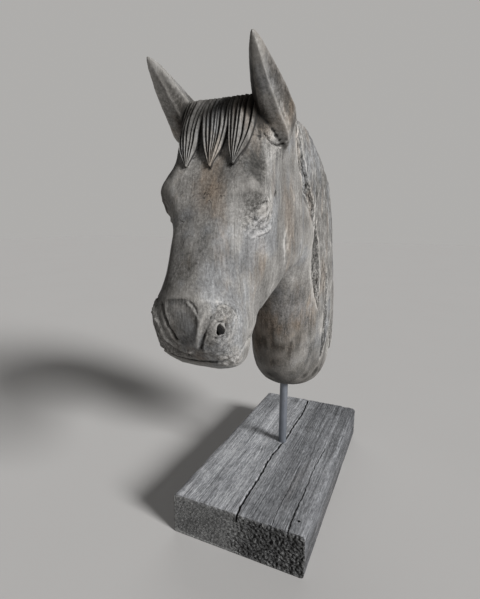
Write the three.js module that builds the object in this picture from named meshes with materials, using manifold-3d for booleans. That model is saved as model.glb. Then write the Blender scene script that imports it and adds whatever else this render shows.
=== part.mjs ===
// Carved wooden horse head on a steel rod, standing in a block of old timber.
// Millimetres, +Z up. The origin is the middle of the block's underside, the
// horse looks along -Y, and its left side is +X.
import * as THREE from 'three';
import { mergeVertices } from 'three/addons/utils/BufferGeometryUtils.js';
import Module from 'manifold-3d';

const wasm = await Module();
wasm.setup();

const radians = THREE.MathUtils.degToRad;

// ---- driving dimensions ----
const blockWidth = 200;         // standard 63 x 200 timber section
const blockThickness = 63;
const blockLength = 400;
const blockCornerRadius = 5;    // long edges worn round

const rodDiameter = 14;
const rodY = 8;                 // the rod stands a little behind the middle
const rodSideways = -1;
const footDepth = 40;           // rod set this deep in the block
const neckDepth = 45;           // and this deep in the neck
const fitGap = 0.3;             // clearance round both rod ends
const neckUnderside = 170;      // height where the rod enters the neck

const faceLean = 24;            // face line leans this many degrees off plumb
const pollY = -233;             // front edge of the flat cut between the ears
const pollZ = 581;
const pollRise = 0.05;          // that cut climbs towards the crest
const headSlices = 38;
const headSides = 34;
const neckSlices = 23;
const neckSides = 32;
const neckEase = 0.6;           // share by which neck slices crowd towards both ends

const earSpread = 56;           // half the distance between the ear tips
const leftEarTip = [-289, 617]; // y, z; the left ear is a little the longer
const rightEarTip = [-286, 613];
const earRoot = [50, -177, 542];
const earHalfWidth = 21;
const earHalfDepth = 21;
const earTopShare = 0.78;       // the upper side is the flatter one
const earWidest = 0.33;         // share of the length where an ear is widest
const earTaper = 0.55;          // power of the narrowing from there to the tip
const earPinch = 0.7;           // share of the width lost from there to the root
const earTipShare = 0.99;       // a blunt tip
const earSlices = 12;
const earSides = 16;
// Ridges down an ear: angle round it, share that they stand out, sharpness.
const earRidges = [
  { angle: radians(-60), gain: 0.16, power: 12 },
  { angle: radians(35), gain: 0.12, power: 8 },
];
const maneRelief = 3;           // mane stands this proud of the neck

const tuftHeight = 6;           // forelock strands stand this proud of the forehead
const tuftTop = -6;             // u where the tufts start, above the flat cut
const tuftTipWidth = 1.2;
const grooveDepth = 4.5;
const tuftSink = 3;
const tuftSlices = 9;
const strands = 5;              // in each tuft

const eyeHalf = [17, 8, 6];          // half length, half height and bulge
const eyePlace = [50, 111, 29];
const eyeOutward = [0.9, -0.15, -0.35];
const eyeSpin = radians(48);
const nostrilPlace = [34, 231, 20];
const nostrilOutward = [0.6, -0.1, -0.8];
const nostrilSpin = radians(-25);
const nostrilMound = [12, 16, 6];    // half sizes
const nostrilDish = [9, 12, 6];
const nostrilHole = [3.5, 5, 14];
const mouthWidth = 1.4;
const mouthDepth = 5;
const mouthBend = [[229, 84], [240, 67], [251, 58], [262, 53], [276, 50]];   // u, v

// The long crack runs end to end through the rod's foot; the check is shorter.
const cracks = [
  { x: 1, wander: 1.6, y0: -200.5, y1: 200.5, width: 3, depth: 14 },
  { x: 75, wander: 1.2, y0: -200.5, y1: 16, width: 1.8, depth: 9 },
];
const crackSteps = 14;
const longWave = 47;            // the two waves that a crack's line wanders in
const shortWave = 19;
const crackEnd = 0.35;          // share of its width that a crack keeps at its ends
const overcut = 5;              // cutting bodies stand this far out of what they cut

// ---- small helpers ----
const { lerp, clamp, smoothstep, mapLinear } = THREE.MathUtils;

// Rows of numbers as objects with these keys.
function table(keys, rows) {
  return rows.map((row) => Object.fromEntries(row.map((value, k) => [keys[k], value])));
}

// Smooth curve through the values of one column of a station table.
function along(stations, key, t) {
  const n = stations.length;
  let i = 0;
  while (i < n - 2 && t > stations[i + 1].at) i++;
  const slope = (k) => {
    const lo = stations[Math.max(k - 1, 0)];
    const hi = stations[Math.min(k + 1, n - 1)];
    return (hi[key] - lo[key]) / (hi.at - lo.at);
  };
  const a = stations[i];
  const b = stations[i + 1];
  const span = b.at - a.at;
  const f = clamp((t - a.at) / span, 0, 1);
  const f2 = f * f;
  const f3 = f2 * f;
  return (2 * f3 - 3 * f2 + 1) * a[key] + (f3 - 2 * f2 + f) * span * slope(i)
    + (3 * f2 - 2 * f3) * b[key] + (f3 - f2) * span * slope(i + 1);
}

// Closed body from rings of points: place(i, j) gives the point, i along, j around.
function skin(slices, sides, place) {
  const xyz = [];
  const faces = [];
  for (let i = 0; i <= slices; i++) {
    for (let j = 0; j < sides; j++) xyz.push(...place(i / slices, j / sides));
  }
  for (let i = 0; i < slices; i++) {
    for (let j = 0; j < sides; j++) {
      const a = i * sides + j;
      const b = i * sides + (j + 1) % sides;
      faces.push(a, b, b + sides, a, b + sides, a + sides);
    }
  }
  for (const [ring, flip] of [[0, true], [slices, false]]) {
    const first = ring * sides;
    const mid = [0, 0, 0];
    for (let j = 0; j < sides; j++) {
      for (let k = 0; k < 3; k++) mid[k] += xyz[3 * (first + j) + k] / sides;
    }
    const hub = xyz.length / 3;
    xyz.push(...mid);
    for (let j = 0; j < sides; j++) {
      const a = first + j;
      const b = first + (j + 1) % sides;
      faces.push(...(flip ? [hub, b, a] : [hub, a, b]));
    }
  }
  const geometry = new THREE.BufferGeometry();
  geometry.setAttribute('position', new THREE.Float32BufferAttribute(xyz, 3));
  geometry.setIndex(faces);
  return geometry;
}

// Turns a shape drawn in y and z, and extruded, to stand across the horse along x.
const sideways = new THREE.Matrix4().set(0, 0, 1, 0, 1, 0, 0, 0, 0, 1, 0, 0, 0, 0, 0, 1);

function toSolid(geometry) {
  const bare = geometry.clone();
  bare.deleteAttribute('normal');
  bare.deleteAttribute('uv');
  const merged = mergeVertices(bare, 1e-4);
  return new wasm.Manifold(new wasm.Mesh({
    numProp: 3,
    vertProperties: new Float32Array(merged.attributes.position.array),
    triVerts: new Uint32Array(merged.index.array),
  }));
}

function toGeometry(solid) {
  const mesh = solid.getMesh();
  const geometry = new THREE.BufferGeometry();
  geometry.setAttribute('position', new THREE.BufferAttribute(mesh.vertProperties, 3));
  geometry.setIndex(new THREE.BufferAttribute(mesh.triVerts, 1));
  return geometry;
}

// ---- head ----
// Stations down the face. `at` is the distance from the poll along the face line,
// v is the depth behind that line. Each half section runs from the middle of the
// face (front) over the face edge, the side, the cheek and the jaw edge to the
// middle of the underjaw (back).
const headStations = table([
  'at', 'front', 'edgeX', 'edgeV', 'sideX', 'sideV', 'cheekX', 'cheekV', 'jawX', 'jawV', 'back',
], [
  [-62, 60, 20, 62, 34, 75, 38, 105, 30, 135, 145],
  [-30, 20, 30, 21, 47, 40, 50, 90, 44, 135, 150],
  [0, 0, 38, 1, 51, 16, 53, 80, 50, 140, 156],
  [43, -1, 40, 1, 53, 20, 55, 85, 53, 152, 165],
  [65, -2, 40, -1, 51, 11, 56, 85, 55, 160, 172],
  [84, -3, 41, -4, 53, 3, 56, 85, 56, 170, 180],
  [102, -3, 40, -5, 55, 3, 56, 85, 56, 178, 188],
  [121, -3, 33, -1, 48, 19, 56, 85, 54, 168, 178],
  [140, -3, 28, 2, 43, 29, 55, 85, 50, 146, 156],
  [163, -3, 25, 2, 38, 25, 51, 75, 45, 131, 141],
  [187, -3, 22, 1, 36, 21, 46, 65, 40, 116, 127],
  [205, -3, 21, 1, 38, 20, 45, 58, 38, 103, 116],
  [218, -2, 21, 2, 43, 22, 47, 55, 38, 100, 110],
  [230, 2, 21, 5, 46, 27, 48, 58, 36, 98, 107],
  [248, 15, 23, 18, 44, 36, 46, 66, 35, 99, 107],
  [261, 33, 25, 37, 42, 48, 43, 72, 31, 96, 103],
  [268, 46, 20, 48, 36, 55, 37, 70, 24, 84, 90],
  [273, 58, 12, 59, 22, 62, 23, 67, 14, 72, 75],
]);
const headTop = headStations[0].at;
const headLength = headStations.at(-1).at;

// A point given by sideways x, distance down the face u and depth v, in the frame
// of the whole object.
function facePoint(x, u, v) {
  const c = Math.cos(radians(faceLean));
  const s = Math.sin(radians(faceLean));
  return [x, pollY - s * u + c * v, pollZ - c * u - s * v];
}

// The point, brought down to the flat cut of the poll if it is above it.
function underPoll([x, y, z]) {
  return [x, y, Math.min(z, pollZ + pollRise * (y - pollY))];
}

// Closed curve through the points of a ring, with knots spaced by the root of the
// chord so that close and wide points join without overshoot.
function ringPoint(ring, f) {
  const n = ring.length;
  const knots = [0];
  for (let k = 0; k < n; k++) {
    const [a, b] = [ring[k], ring[(k + 1) % n]];
    knots.push(knots[k] + Math.sqrt(Math.hypot(b[0] - a[0], b[1] - a[1])));
  }
  const at = (f % 1) * knots[n];
  let k = 0;
  while (k < n - 1 && at > knots[k + 1]) k++;
  const step = (m) => knots[((m + n) % n) + 1] - knots[(m + n) % n];
  const t = (at - knots[k]) / step(k);
  return [0, 1].map((c) => {
    const [a, b, d, e] = [-1, 0, 1, 2].map((m) => ring[(k + m + n) % n][c]);
    const [before, here, after] = [step(k - 1), step(k), step(k + 1)];
    const m0 = here * ((b - a) / before - (d - a) / (before + here) + (d - b) / here);
    const m1 = here * ((d - b) / here - (e - b) / (here + after) + (e - d) / after);
    return b + t * (m0 + t * (3 * (d - b) - 2 * m0 - m1 + t * (2 * (b - d) + m0 + m1)));
  });
}

// Half section through six points, mirrored; f runs once round from the front.
function headSection(u, f) {
  const get = (key) => along(headStations, key, u);
  const half = [
    [0, get('front')], [get('edgeX'), get('edgeV')], [get('sideX'), get('sideV')],
    [get('cheekX'), get('cheekV')], [get('jawX'), get('jawV')], [0, get('back')],
  ];
  return ringPoint([...half, ...half.slice(1, 5).reverse().map(([x, v]) => [-x, v])], f);
}

function headGeometry(shrink = 0) {
  return skin(headSlices, headSides, (i, j) => {
    const u = lerp(headTop, headLength - shrink, i);
    const [fullX, fullV] = headSection(u, 1 - j);
    const axisV = (along(headStations, 'front', u) + along(headStations, 'back', u)) / 2;
    const keep = 1 - shrink / Math.max(Math.hypot(fullX, fullV - axisV), 2 * shrink);
    const x = fullX * keep;
    const v = axisV + (fullV - axisV) * keep;
    return underPoll(facePoint(x, u, v));
  });
}

// ---- neck ----
// Level sections: half width, foremost and rearmost point, and how square they are.
const neckStations = table(['at', 'half', 'front', 'back', 'square'], [
  [168, 18, 36, 92, 2.0],
  [172, 32, 14, 108, 2.1],
  [184, 48, -16, 130, 2.2],
  [205, 57, -40, 147, 2.3],
  [232, 61, -54, 156, 2.4],
  [270, 63, -62, 160, 2.4],
  [330, 62, -72, 160, 2.4],
  [390, 59, -98, 156, 2.4],
  [430, 57, -128, 151, 2.7],
  [490, 53, -150, 132, 3.0],
  [520, 52, -155, 104, 3.0],
  [550, 48, -155, 60, 2.8],
  [573, 43, -150, 18, 2.5],
  [587, 36, -140, -14, 2.2],
  [594, 20, -115, -42, 2.0],
]);
const neckBottom = neckStations[0].at;
const neckTop = neckStations.at(-1).at;

function neckGeometry(grow = 0) {
  return skin(neckSlices, neckSides, (i, j) => {
    const ease = 0.5 - 0.5 * Math.cos(Math.PI * i);
    const z = lerp(neckBottom, neckTop, lerp(i, ease, neckEase));
    const get = (key) => along(neckStations, key, z);
    const angle = 2 * Math.PI * j;
    const power = 2 / get('square');
    const sx = Math.sign(Math.sin(angle)) * Math.abs(Math.sin(angle)) ** power;
    const sy = Math.sign(Math.cos(angle)) * Math.abs(Math.cos(angle)) ** power;
    const mid = (get('front') + get('back')) / 2;
    const reach = (get('back') - get('front')) / 2 + grow;
    return [(get('half') + grow) * sx, mid - reach * sy, z];
  });
}

// The mane is the part of a slightly grown neck inside this side outline, which
// runs down the front edge in three pointed locks.
function maneOutline() {
  const above = neckTop + 20;
  const behind = 220;
  const shape = new THREE.Shape();
  shape.moveTo(-142, above);
  shape.quadraticCurveTo(-142, 530, -112, 502);
  shape.quadraticCurveTo(-72, 486, -40, 446);
  shape.quadraticCurveTo(-42, 462, -43, 474);
  shape.quadraticCurveTo(-34, 390, -7, 318);
  shape.quadraticCurveTo(-4, 350, 4, 385);
  shape.quadraticCurveTo(26, 300, 16, 230);
  shape.quadraticCurveTo(40, 250, 52, 280);
  shape.quadraticCurveTo(74, 240, 120, 205);
  shape.lineTo(behind, 205);
  shape.lineTo(behind, above);
  shape.closePath();
  return shape;
}

function maneSolid() {
  const options = { depth: blockWidth, bevelEnabled: false, curveSegments: 5 };
  const prism = new THREE.ExtrudeGeometry(maneOutline(), options);
  prism.translate(0, 0, -blockWidth / 2);
  prism.applyMatrix4(sideways);
  return toSolid(prism).intersect(toSolid(neckGeometry(maneRelief)));
}

// ---- ears ----
// Each ear is a leaf on a straight axis, widest a third of the way up, with a sharp
// ridge down its outer front and a blunter one behind.
function earGeometry(side, [tipY, tipZ]) {
  const root = new THREE.Vector3(side * earRoot[0], earRoot[1], earRoot[2]);
  const tip = new THREE.Vector3(side * earSpread, tipY, tipZ);
  const axis = tip.clone().sub(root).normalize();
  const across = new THREE.Vector3(side, 0, 0);
  across.addScaledVector(axis, -across.dot(axis)).normalize();
  const over = new THREE.Vector3(0, 0, 1);
  over.addScaledVector(axis, -over.dot(axis)).normalize();
  return skin(earSlices, earSides, (i, j) => {
    const t = earTipShare * i;
    const leaf = t > earWidest
      ? ((1 - t) / (1 - earWidest)) ** earTaper
      : 1 - earPinch * ((earWidest - t) / earWidest) ** 2;
    const angle = side * 2 * Math.PI * j;
    let reach = leaf;
    for (const ridge of earRidges) {
      reach += leaf * ridge.gain * Math.max(0, Math.cos(angle - ridge.angle)) ** ridge.power;
    }
    const rise = Math.sin(angle) * (Math.sin(angle) > 0 ? earTopShare : 1);
    return root.clone().lerp(tip, t)
      .addScaledVector(across, reach * earHalfWidth * Math.cos(angle))
      .addScaledVector(over, reach * earHalfDepth * rise).toArray();
  });
}

// ---- forelock ----
// Depth of the front of the head at sideways x, found by walking round its section.
function faceDepth(x, u) {
  const stride = 0.008;
  let before = headSection(u, 0);
  for (let f = stride; f < 0.4; f += stride) {
    const after = headSection(u, f);
    if (after[0] >= Math.abs(x)) return mapLinear(Math.abs(x), before[0], after[0], before[1], after[1]);
    before = after;
  }
  return before[1];
}

// Three tufts hang from the flat cut. left and right give each edge at the top, half
// way and three quarters down; tip is the point they run to.
const tufts = [
  { left: [-39, -47, -38], right: [-15, -18, -21], tip: [-24, 79] },
  { left: [-18, -18, -14], right: [12, 15, 12], tip: [3, 78] },
  { left: [12, 17, 22], right: [40, 43, 39], tip: [28, 78] },
];

function edgeAt([top, middle, low], end, t) {
  const knots = [{ at: 0, x: top }, { at: 0.5, x: middle }, { at: 0.75, x: low }, { at: 1, x: end }];
  return along(knots, 'x', t);
}

// Across a tuft, crests and grooves take turns; two more points close it underneath.
function tuftGeometry({ left, right, tip: [tipX, tipU] }) {
  const columns = 2 * strands + 1;
  return skin(tuftSlices, columns + 2, (i, j) => {
    const u = lerp(tuftTop, tipU, i);
    const spanLeft = edgeAt(left, tipX - tuftTipWidth / 2, i);
    const spanRight = edgeAt(right, tipX + tuftTipWidth / 2, i);
    const column = Math.round(j * (columns + 2));
    const onTop = column < columns;
    const across = onTop ? column / (columns - 1) : columns + 1 - column;
    const x = lerp(spanRight, spanLeft, across);
    const thinning = 1 - 0.6 * smoothstep(i, 0.7, 1);
    const groove = column % 2 ? 0 : grooveDepth * Math.min(1, 0.3 + 4 * i);
    const height = onTop ? (tuftHeight - groove) * thinning : -tuftSink;
    return underPoll(facePoint(x, u, faceDepth(x, u) - height));
  });
}

// ---- nostrils, eyes and mouth ----
const mirrored = (side, [x, u, v]) => [side * x, u, v];

// Moves a geometry made about the origin, its +Z facing out, to a place on the face.
function onFace(geometry, [x, u, v], outward, spin) {
  const [nx, nu, nv] = outward;
  const here = facePoint(x, u, v);
  const there = facePoint(x + nx, u + nu, v + nv);
  const normal = new THREE.Vector3(...there).sub(new THREE.Vector3(...here)).normalize();
  const turn = new THREE.Matrix4().lookAt(normal, new THREE.Vector3(), new THREE.Vector3(0, 0, 1));
  geometry.rotateZ(spin);
  geometry.applyMatrix4(turn);
  geometry.translate(...here);
  return geometry;
}

function eyeSolid(side) {
  const ball = new THREE.SphereGeometry(1, 16, 10);
  ball.scale(...eyeHalf);
  return toSolid(onFace(ball, mirrored(side, eyePlace), mirrored(side, eyeOutward), side * eyeSpin));
}

// A raised oval, dished inside its rim, with the nostril running in from the dish.
// Each is an ellipsoid moved outwards by its shift.
function nostrilOval(side, halfSizes, shift) {
  const oval = new THREE.SphereGeometry(1, 14, 8);
  oval.scale(...halfSizes);
  const place = nostrilPlace.map((value, k) => value + shift * nostrilOutward[k]);
  return toSolid(onFace(oval, mirrored(side, place), mirrored(side, nostrilOutward), side * nostrilSpin));
}

// The mouth line is a thin band, bent in side view, run right across the muzzle.
function mouthSolid() {
  const toSide = ([u, v]) => facePoint(0, u, v).slice(1);
  const upper = mouthBend.map(toSide);
  const lower = mouthBend.map(([u, v]) => toSide([u + mouthWidth, v + mouthWidth])).reverse();
  const shape = new THREE.Shape([...upper, ...lower].map(([y, z]) => new THREE.Vector2(y, z)));
  const band = new THREE.ExtrudeGeometry(shape, { depth: blockWidth, bevelEnabled: false });
  band.translate(0, 0, -blockWidth / 2);
  band.applyMatrix4(sideways);
  return toSolid(band).subtract(toSolid(headGeometry(mouthDepth)));
}

// ---- block ----
function blockSolid() {
  const w = blockWidth / 2;
  const t = blockThickness;
  const r = blockCornerRadius;
  const section = new THREE.Shape();
  section.moveTo(-w + r, 0);
  section.lineTo(w - r, 0);
  section.absarc(w - r, r, r, -Math.PI / 2, 0);
  section.lineTo(w, t - r);
  section.absarc(w - r, t - r, r, 0, Math.PI / 2);
  section.lineTo(-w + r, t);
  section.absarc(-w + r, t - r, r, Math.PI / 2, Math.PI);
  section.lineTo(-w, r);
  section.absarc(-w + r, r, r, Math.PI, 1.5 * Math.PI);
  const options = { depth: blockLength, bevelEnabled: false, curveSegments: 4 };
  const timber = new THREE.ExtrudeGeometry(section, options);
  timber.rotateX(Math.PI / 2);
  timber.translate(0, blockLength / 2, 0);
  return toSolid(timber);
}

// A drying crack in the top: its line wanders about x, from y0 to y1.
function crackSolid({ x, wander, y0, y1, width, depth }) {
  const line = (y) => x + wander * (Math.sin(y / longWave) + 0.5 * Math.sin(y / shortWave + 1));
  const edge = (side) => Array.from({ length: crackSteps + 1 }, (_, k) => {
    const share = k / crackSteps;
    const y = lerp(y0, y1, share);
    const taper = Math.min(1, crackEnd + 8 * Math.min(share, 1 - share));
    return new THREE.Vector2(line(y) + side * taper * width / 2, y);
  });
  const plan = new THREE.Shape([...edge(1), ...edge(-1).reverse()]);
  const cut = new THREE.ExtrudeGeometry(plan, { depth: depth + overcut, bevelEnabled: false });
  cut.translate(0, 0, blockThickness - depth);
  return toSolid(cut);
}

// ---- rod ----
function rodGeometry(radius, bottom, top) {
  const rod = new THREE.CylinderGeometry(radius, radius, top - bottom, 32);
  rod.rotateX(Math.PI / 2);
  rod.translate(rodSideways, rodY, (bottom + top) / 2);
  return rod;
}

// ---- assembly ----
const rodBottom = blockThickness - footDepth;
const rodTop = neckUnderside + neckDepth;
const socket = toSolid(rodGeometry(rodDiameter / 2 + fitGap, rodBottom - fitGap, rodTop + fitGap));

let carving = toSolid(neckGeometry()).add(toSolid(headGeometry())).add(maneSolid());
for (const tuft of tufts) carving = carving.add(toSolid(tuftGeometry(tuft)));
carving = carving.add(toSolid(earGeometry(1, leftEarTip))).add(toSolid(earGeometry(-1, rightEarTip)));
for (const side of [-1, 1]) {
  carving = carving.add(eyeSolid(side)).add(nostrilOval(side, nostrilMound, -1));
  carving = carving.subtract(nostrilOval(side, nostrilDish, 5)).subtract(nostrilOval(side, nostrilHole, 0));
}
carving = carving.subtract(mouthSolid()).subtract(socket);

let block = blockSolid().subtract(socket);
for (const crack of cracks) block = block.subtract(crackSolid(crack));

const carvedWood = new THREE.MeshStandardMaterial({ color: 0x6d6a64, roughness: 0.85, metalness: 0 });
const oldTimber = new THREE.MeshStandardMaterial({ color: 0x6f7275, roughness: 0.9, metalness: 0 });
const darkSteel = new THREE.MeshStandardMaterial({ color: 0x3e444b, roughness: 0.45, metalness: 0.9 });

function part(name, geometry, material) {
  const mesh = new THREE.Mesh(geometry, material);
  mesh.name = name;
  return mesh;
}

const sculpture = new THREE.Group();
sculpture.add(part('horse_head', toGeometry(carving), carvedWood));
sculpture.add(part('steel_rod', rodGeometry(rodDiameter / 2, rodBottom, rodTop), darkSteel));
sculpture.add(part('timber_base', toGeometry(block), oldTimber));
export default sculpture;
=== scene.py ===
# Carved wooden horse head on a steel rod, standing in a block of old timber.
# Shapes are worked out in millimetres with numpy and put into meshes in metres.
import math
import time
import bpy
import numpy as np
from mathutils import Matrix, Vector


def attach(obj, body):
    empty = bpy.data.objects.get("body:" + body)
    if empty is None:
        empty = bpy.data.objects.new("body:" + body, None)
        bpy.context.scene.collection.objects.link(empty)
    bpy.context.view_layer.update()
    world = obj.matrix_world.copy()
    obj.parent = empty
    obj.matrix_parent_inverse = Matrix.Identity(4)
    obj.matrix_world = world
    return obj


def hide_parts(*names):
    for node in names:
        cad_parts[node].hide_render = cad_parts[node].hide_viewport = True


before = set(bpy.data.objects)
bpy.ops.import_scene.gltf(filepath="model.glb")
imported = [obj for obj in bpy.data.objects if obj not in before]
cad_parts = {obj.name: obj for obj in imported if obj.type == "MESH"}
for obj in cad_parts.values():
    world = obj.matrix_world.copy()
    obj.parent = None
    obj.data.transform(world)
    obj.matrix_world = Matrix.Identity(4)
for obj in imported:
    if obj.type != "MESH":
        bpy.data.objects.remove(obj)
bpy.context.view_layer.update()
startTime = time.time()
mm = 0.001


def report(text):
    print(f"{time.time() - startTime:6.1f} s  {text}")


def smoothStep(low, high, t):
    # 0 below low, 1 above high, 3s^2 - 2s^3 of the share s between
    s = np.clip((t - low) / (high - low), 0, 1)
    return s * s * (3 - 2 * s)


def mixed(a, b, share):
    return a + (b - a) * share


def through(at, values, t):
    # cubic curve through the values at the places `at`; the slope at each comes from
    # its two neighbours
    at, values = np.asarray(at, float), np.asarray(values, float)
    index = np.arange(len(at))
    lower, upper = np.maximum(index - 1, 0), np.minimum(index + 1, len(at) - 1)
    column = (-1,) + (1,) * (values.ndim - 1)
    slope = (values[upper] - values[lower]) / (at[upper] - at[lower]).reshape(column)
    t = np.atleast_1d(t)
    k = np.clip(np.searchsorted(at, t, side="right") - 1, 0, len(at) - 2)
    span = (at[k + 1] - at[k]).reshape(column)
    f = np.clip((t - at[k]) / (at[k + 1] - at[k]), 0, 1).reshape(column)
    f2, f3 = f * f, f * f * f
    return ((2 * f3 - 3 * f2 + 1) * values[k] + (f3 - 2 * f2 + f) * span * slope[k]
            + (3 * f2 - 2 * f3) * values[k + 1] + (f3 - f2) * span * slope[k + 1])


def smoothPath(points, steps):
    # the points joined by a cubic curve, with so many steps to each stretch
    points = np.asarray(points, float)
    knots = np.arange(len(points))
    return through(knots, points, np.linspace(0, len(points) - 1, steps * (len(points) - 1) + 1))


def smoothOutline(points, steps):
    # the same for a closed outline, without repeating its first point
    return smoothPath(points + points[:1], steps)[:-1]


def closedSkin(rings):
    # quads between neighbouring rings of points, and a fan to a hub closing each end
    rows, columns, _ = rings.shape
    i, j = np.meshgrid(np.arange(rows - 1), np.arange(columns), indexing="ij")
    a, b = i * columns + j, i * columns + (j + 1) % columns
    quads = np.stack([a, b, b + columns, a + columns], -1).reshape(-1, 4)
    hubs = np.array([rings[0].mean(0), rings[-1].mean(0)])
    points = np.concatenate([rings.reshape(-1, 3), hubs])
    first = np.arange(columns)
    after = (first + 1) % columns
    hub = rows * columns
    last = hub - columns
    lower = np.stack([np.full(columns, hub), after, first], -1)
    upper = np.stack([np.full(columns, hub + 1), first + last, after + last], -1)
    return points, [quads, lower, upper]


def newPiece(name, *shells):
    # one mesh object from (points in mm, face index arrays) shells
    points, faces, offset = [], [], 0
    for shellPoints, shellFaces in shells:
        points.append(shellPoints)
        faces += [f + offset for f in shellFaces]
        offset += len(shellPoints)
    points = np.concatenate(points) * mm
    corners = np.concatenate([f.ravel() for f in faces]).astype(np.int32)
    sizes = np.concatenate([np.full(len(f), f.shape[1]) for f in faces])
    starts = np.concatenate([[0], np.cumsum(sizes)[:-1]]).astype(np.int32)
    mesh = bpy.data.meshes.new(name)
    mesh.vertices.add(len(points))
    mesh.vertices.foreach_set("co", points.astype(np.float32).ravel())
    mesh.loops.add(len(corners))
    mesh.loops.foreach_set("vertex_index", corners)
    mesh.polygons.add(len(starts))
    mesh.polygons.foreach_set("loop_start", starts)
    mesh.update(calc_edges=True)
    piece = bpy.data.objects.new(name, mesh)
    bpy.context.scene.collection.objects.link(piece)
    return piece


def worked(piece, kind, **settings):
    # runs one modifier on the piece and keeps the mesh that it gives
    modifier = piece.modifiers.new(kind.title(), kind)
    for key, value in settings.items():
        setattr(modifier, key, value)
    seen = piece.evaluated_get(bpy.context.evaluated_depsgraph_get())
    mesh = bpy.data.meshes.new_from_object(seen)
    piece.modifiers.clear()
    old, piece.data = piece.data, mesh
    mesh.name = piece.name
    bpy.data.meshes.remove(old)
    return len(mesh.polygons)


def joined(piece, other, operation):
    # adds or cuts another closed piece, which is then thrown away
    worked(piece, "BOOLEAN", operation=operation, object=other, solver="MANIFOLD")
    bpy.data.objects.remove(other)


def clay(piece, settings):
    # one even skin of small faces over all of the piece's shells
    voxel = settings["voxel"] * 1 * mm
    count = worked(piece, "REMESH", mode="VOXEL", voxel_size=voxel, use_smooth_shade=True)
    report(f"{piece.name} remeshed: {count} faces")


def thinned(piece, settings):
    ratio = settings["triangles"] / (2 * len(piece.data.polygons))
    if ratio < 1:
        worked(piece, "DECIMATE", ratio=ratio, use_collapse_triangulate=True)


def shadeSmooth(piece):
    faces = piece.data.polygons
    faces.foreach_set("use_smooth", np.ones(len(faces), bool))


def rowsOf(collection, name, width, kind=np.float32):
    # one property of every element as an array, a row for each
    values = np.empty(len(collection) * width, kind)
    collection.foreach_get(name, values)
    return values.reshape(-1, width)


def surfaceOf(mesh):
    # points in mm, normals and edges of a mesh
    return (rowsOf(mesh.vertices, "co", 3).astype(float) / mm,
            rowsOf(mesh.vertex_normals, "vector", 3).astype(float),
            rowsOf(mesh.edges, "vertices", 2, np.int32))


def putPoints(mesh, points):
    mesh.vertices.foreach_set("co", (points * mm).astype(np.float32).ravel())
    mesh.update()


def softened(values, edges, rounds):
    # each round moves every value half way to the mean of its neighbours
    count = len(values)
    near = np.maximum(np.bincount(edges.ravel(), minlength=count), 1)
    values = values.copy()
    for _ in range(rounds):
        for axis in range(values.shape[1]):
            column = values[:, axis]
            total = (np.bincount(edges[:, 0], column[edges[:, 1]], count)
                     + np.bincount(edges[:, 1], column[edges[:, 0]], count))
            values[:, axis] = column + 0.5 * (total / near - column)
    return values


def valueNoise(points, cell, seed):
    # random heights from -1 to 1 on a lattice of cells, blended smoothly between;
    # cell may give a size for each axis
    p = points / np.asarray(cell, float) + 1000
    base = np.floor(p).astype(np.int64)
    f = p - base
    f = f * f * (3 - 2 * f)
    table = np.random.RandomState(seed).uniform(-1, 1, 4096)
    total = 0
    for corner in np.ndindex(2, 2, 2):
        key = base + corner
        index = (key[:, 0] * 73856093 ^ key[:, 1] * 19349663 ^ key[:, 2] * 83492791) & 4095
        weight = np.prod(np.where(corner, f, 1 - f), axis=1)
        total = total + weight * table[index]
    return total


def layeredNoise(points, cell, seed, layers=3):
    # noise at the given cell, at half of it and so on, each layer half as strong
    total, strength = 0, 1.0
    for k in range(layers):
        total = total + strength * valueNoise(points, np.asarray(cell, float) / 2 ** k, seed + k)
        strength /= 2
    return total


def distanceTo(points, path, reach):
    # distance from each point to a polyline, no more than reach
    low, high = path.min(0) - reach, path.max(0) + reach
    close = np.flatnonzero(((points > low) & (points < high)).all(1))
    best = np.full(len(close), float(reach))
    p = points[close]
    for a, b in zip(path[:-1], path[1:]):
        along = b - a
        t = np.clip((p - a) @ along / max(along @ along, 1e-9), 0, 1)
        best = np.minimum(best, np.linalg.norm(p - a - t[:, None] * along, axis=1))
    return close, best


def insideOf(flat, outline):
    # signed distance of 2-D points to a closed outline, positive inside
    best = np.full(len(flat), np.inf)
    inside = np.zeros(len(flat), bool)
    for a, b in zip(outline, np.roll(outline, -1, axis=0)):
        along = b - a
        t = np.clip((flat - a) @ along / max(along @ along, 1e-9), 0, 1)
        best = np.minimum(best, np.linalg.norm(flat - a - t[:, None] * along, axis=1))
        crosses = (a[1] > flat[:, 1]) != (b[1] > flat[:, 1])
        reach = (b[0] - a[0]) * (flat[:, 1] - a[1]) / (b[1] - a[1] + 1e-12) + a[0]
        inside ^= crosses & (flat[:, 0] < reach)
    return np.where(inside, best, -best)


def nearestOn(points, path):
    # each point of the path moved to the nearest vertex of the surface
    return np.array([points[np.argmin(((points - p) ** 2).sum(1))] for p in path])


view = {
    "place": (0.2045, -0.6358, 0.4555),    # metres
    "turn": 24.46,       # degrees to the left of straight along +Y
    "tilt": 10.98,       # degrees down
    "roll": 0.44,
    "lens": 24.04,       # mm on a 36 mm sensor
}


def makeCamera():
    data = bpy.data.cameras.new("camera")
    data.lens = view["lens"]
    data.sensor_width = 36
    data.clip_start = 0.01
    camera = bpy.data.objects.new("camera", data)
    turn = Matrix.Rotation(math.radians(view["turn"]), 4, "Z")
    tilt = Matrix.Rotation(math.radians(90 - view["tilt"]), 4, "X")
    roll = Matrix.Rotation(math.radians(view["roll"]), 4, "Z")
    camera.matrix_world = Matrix.Translation(view["place"]) @ turn @ tilt @ roll
    bpy.context.scene.collection.objects.link(camera)
    bpy.context.scene.camera = camera


makeCamera()

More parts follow.
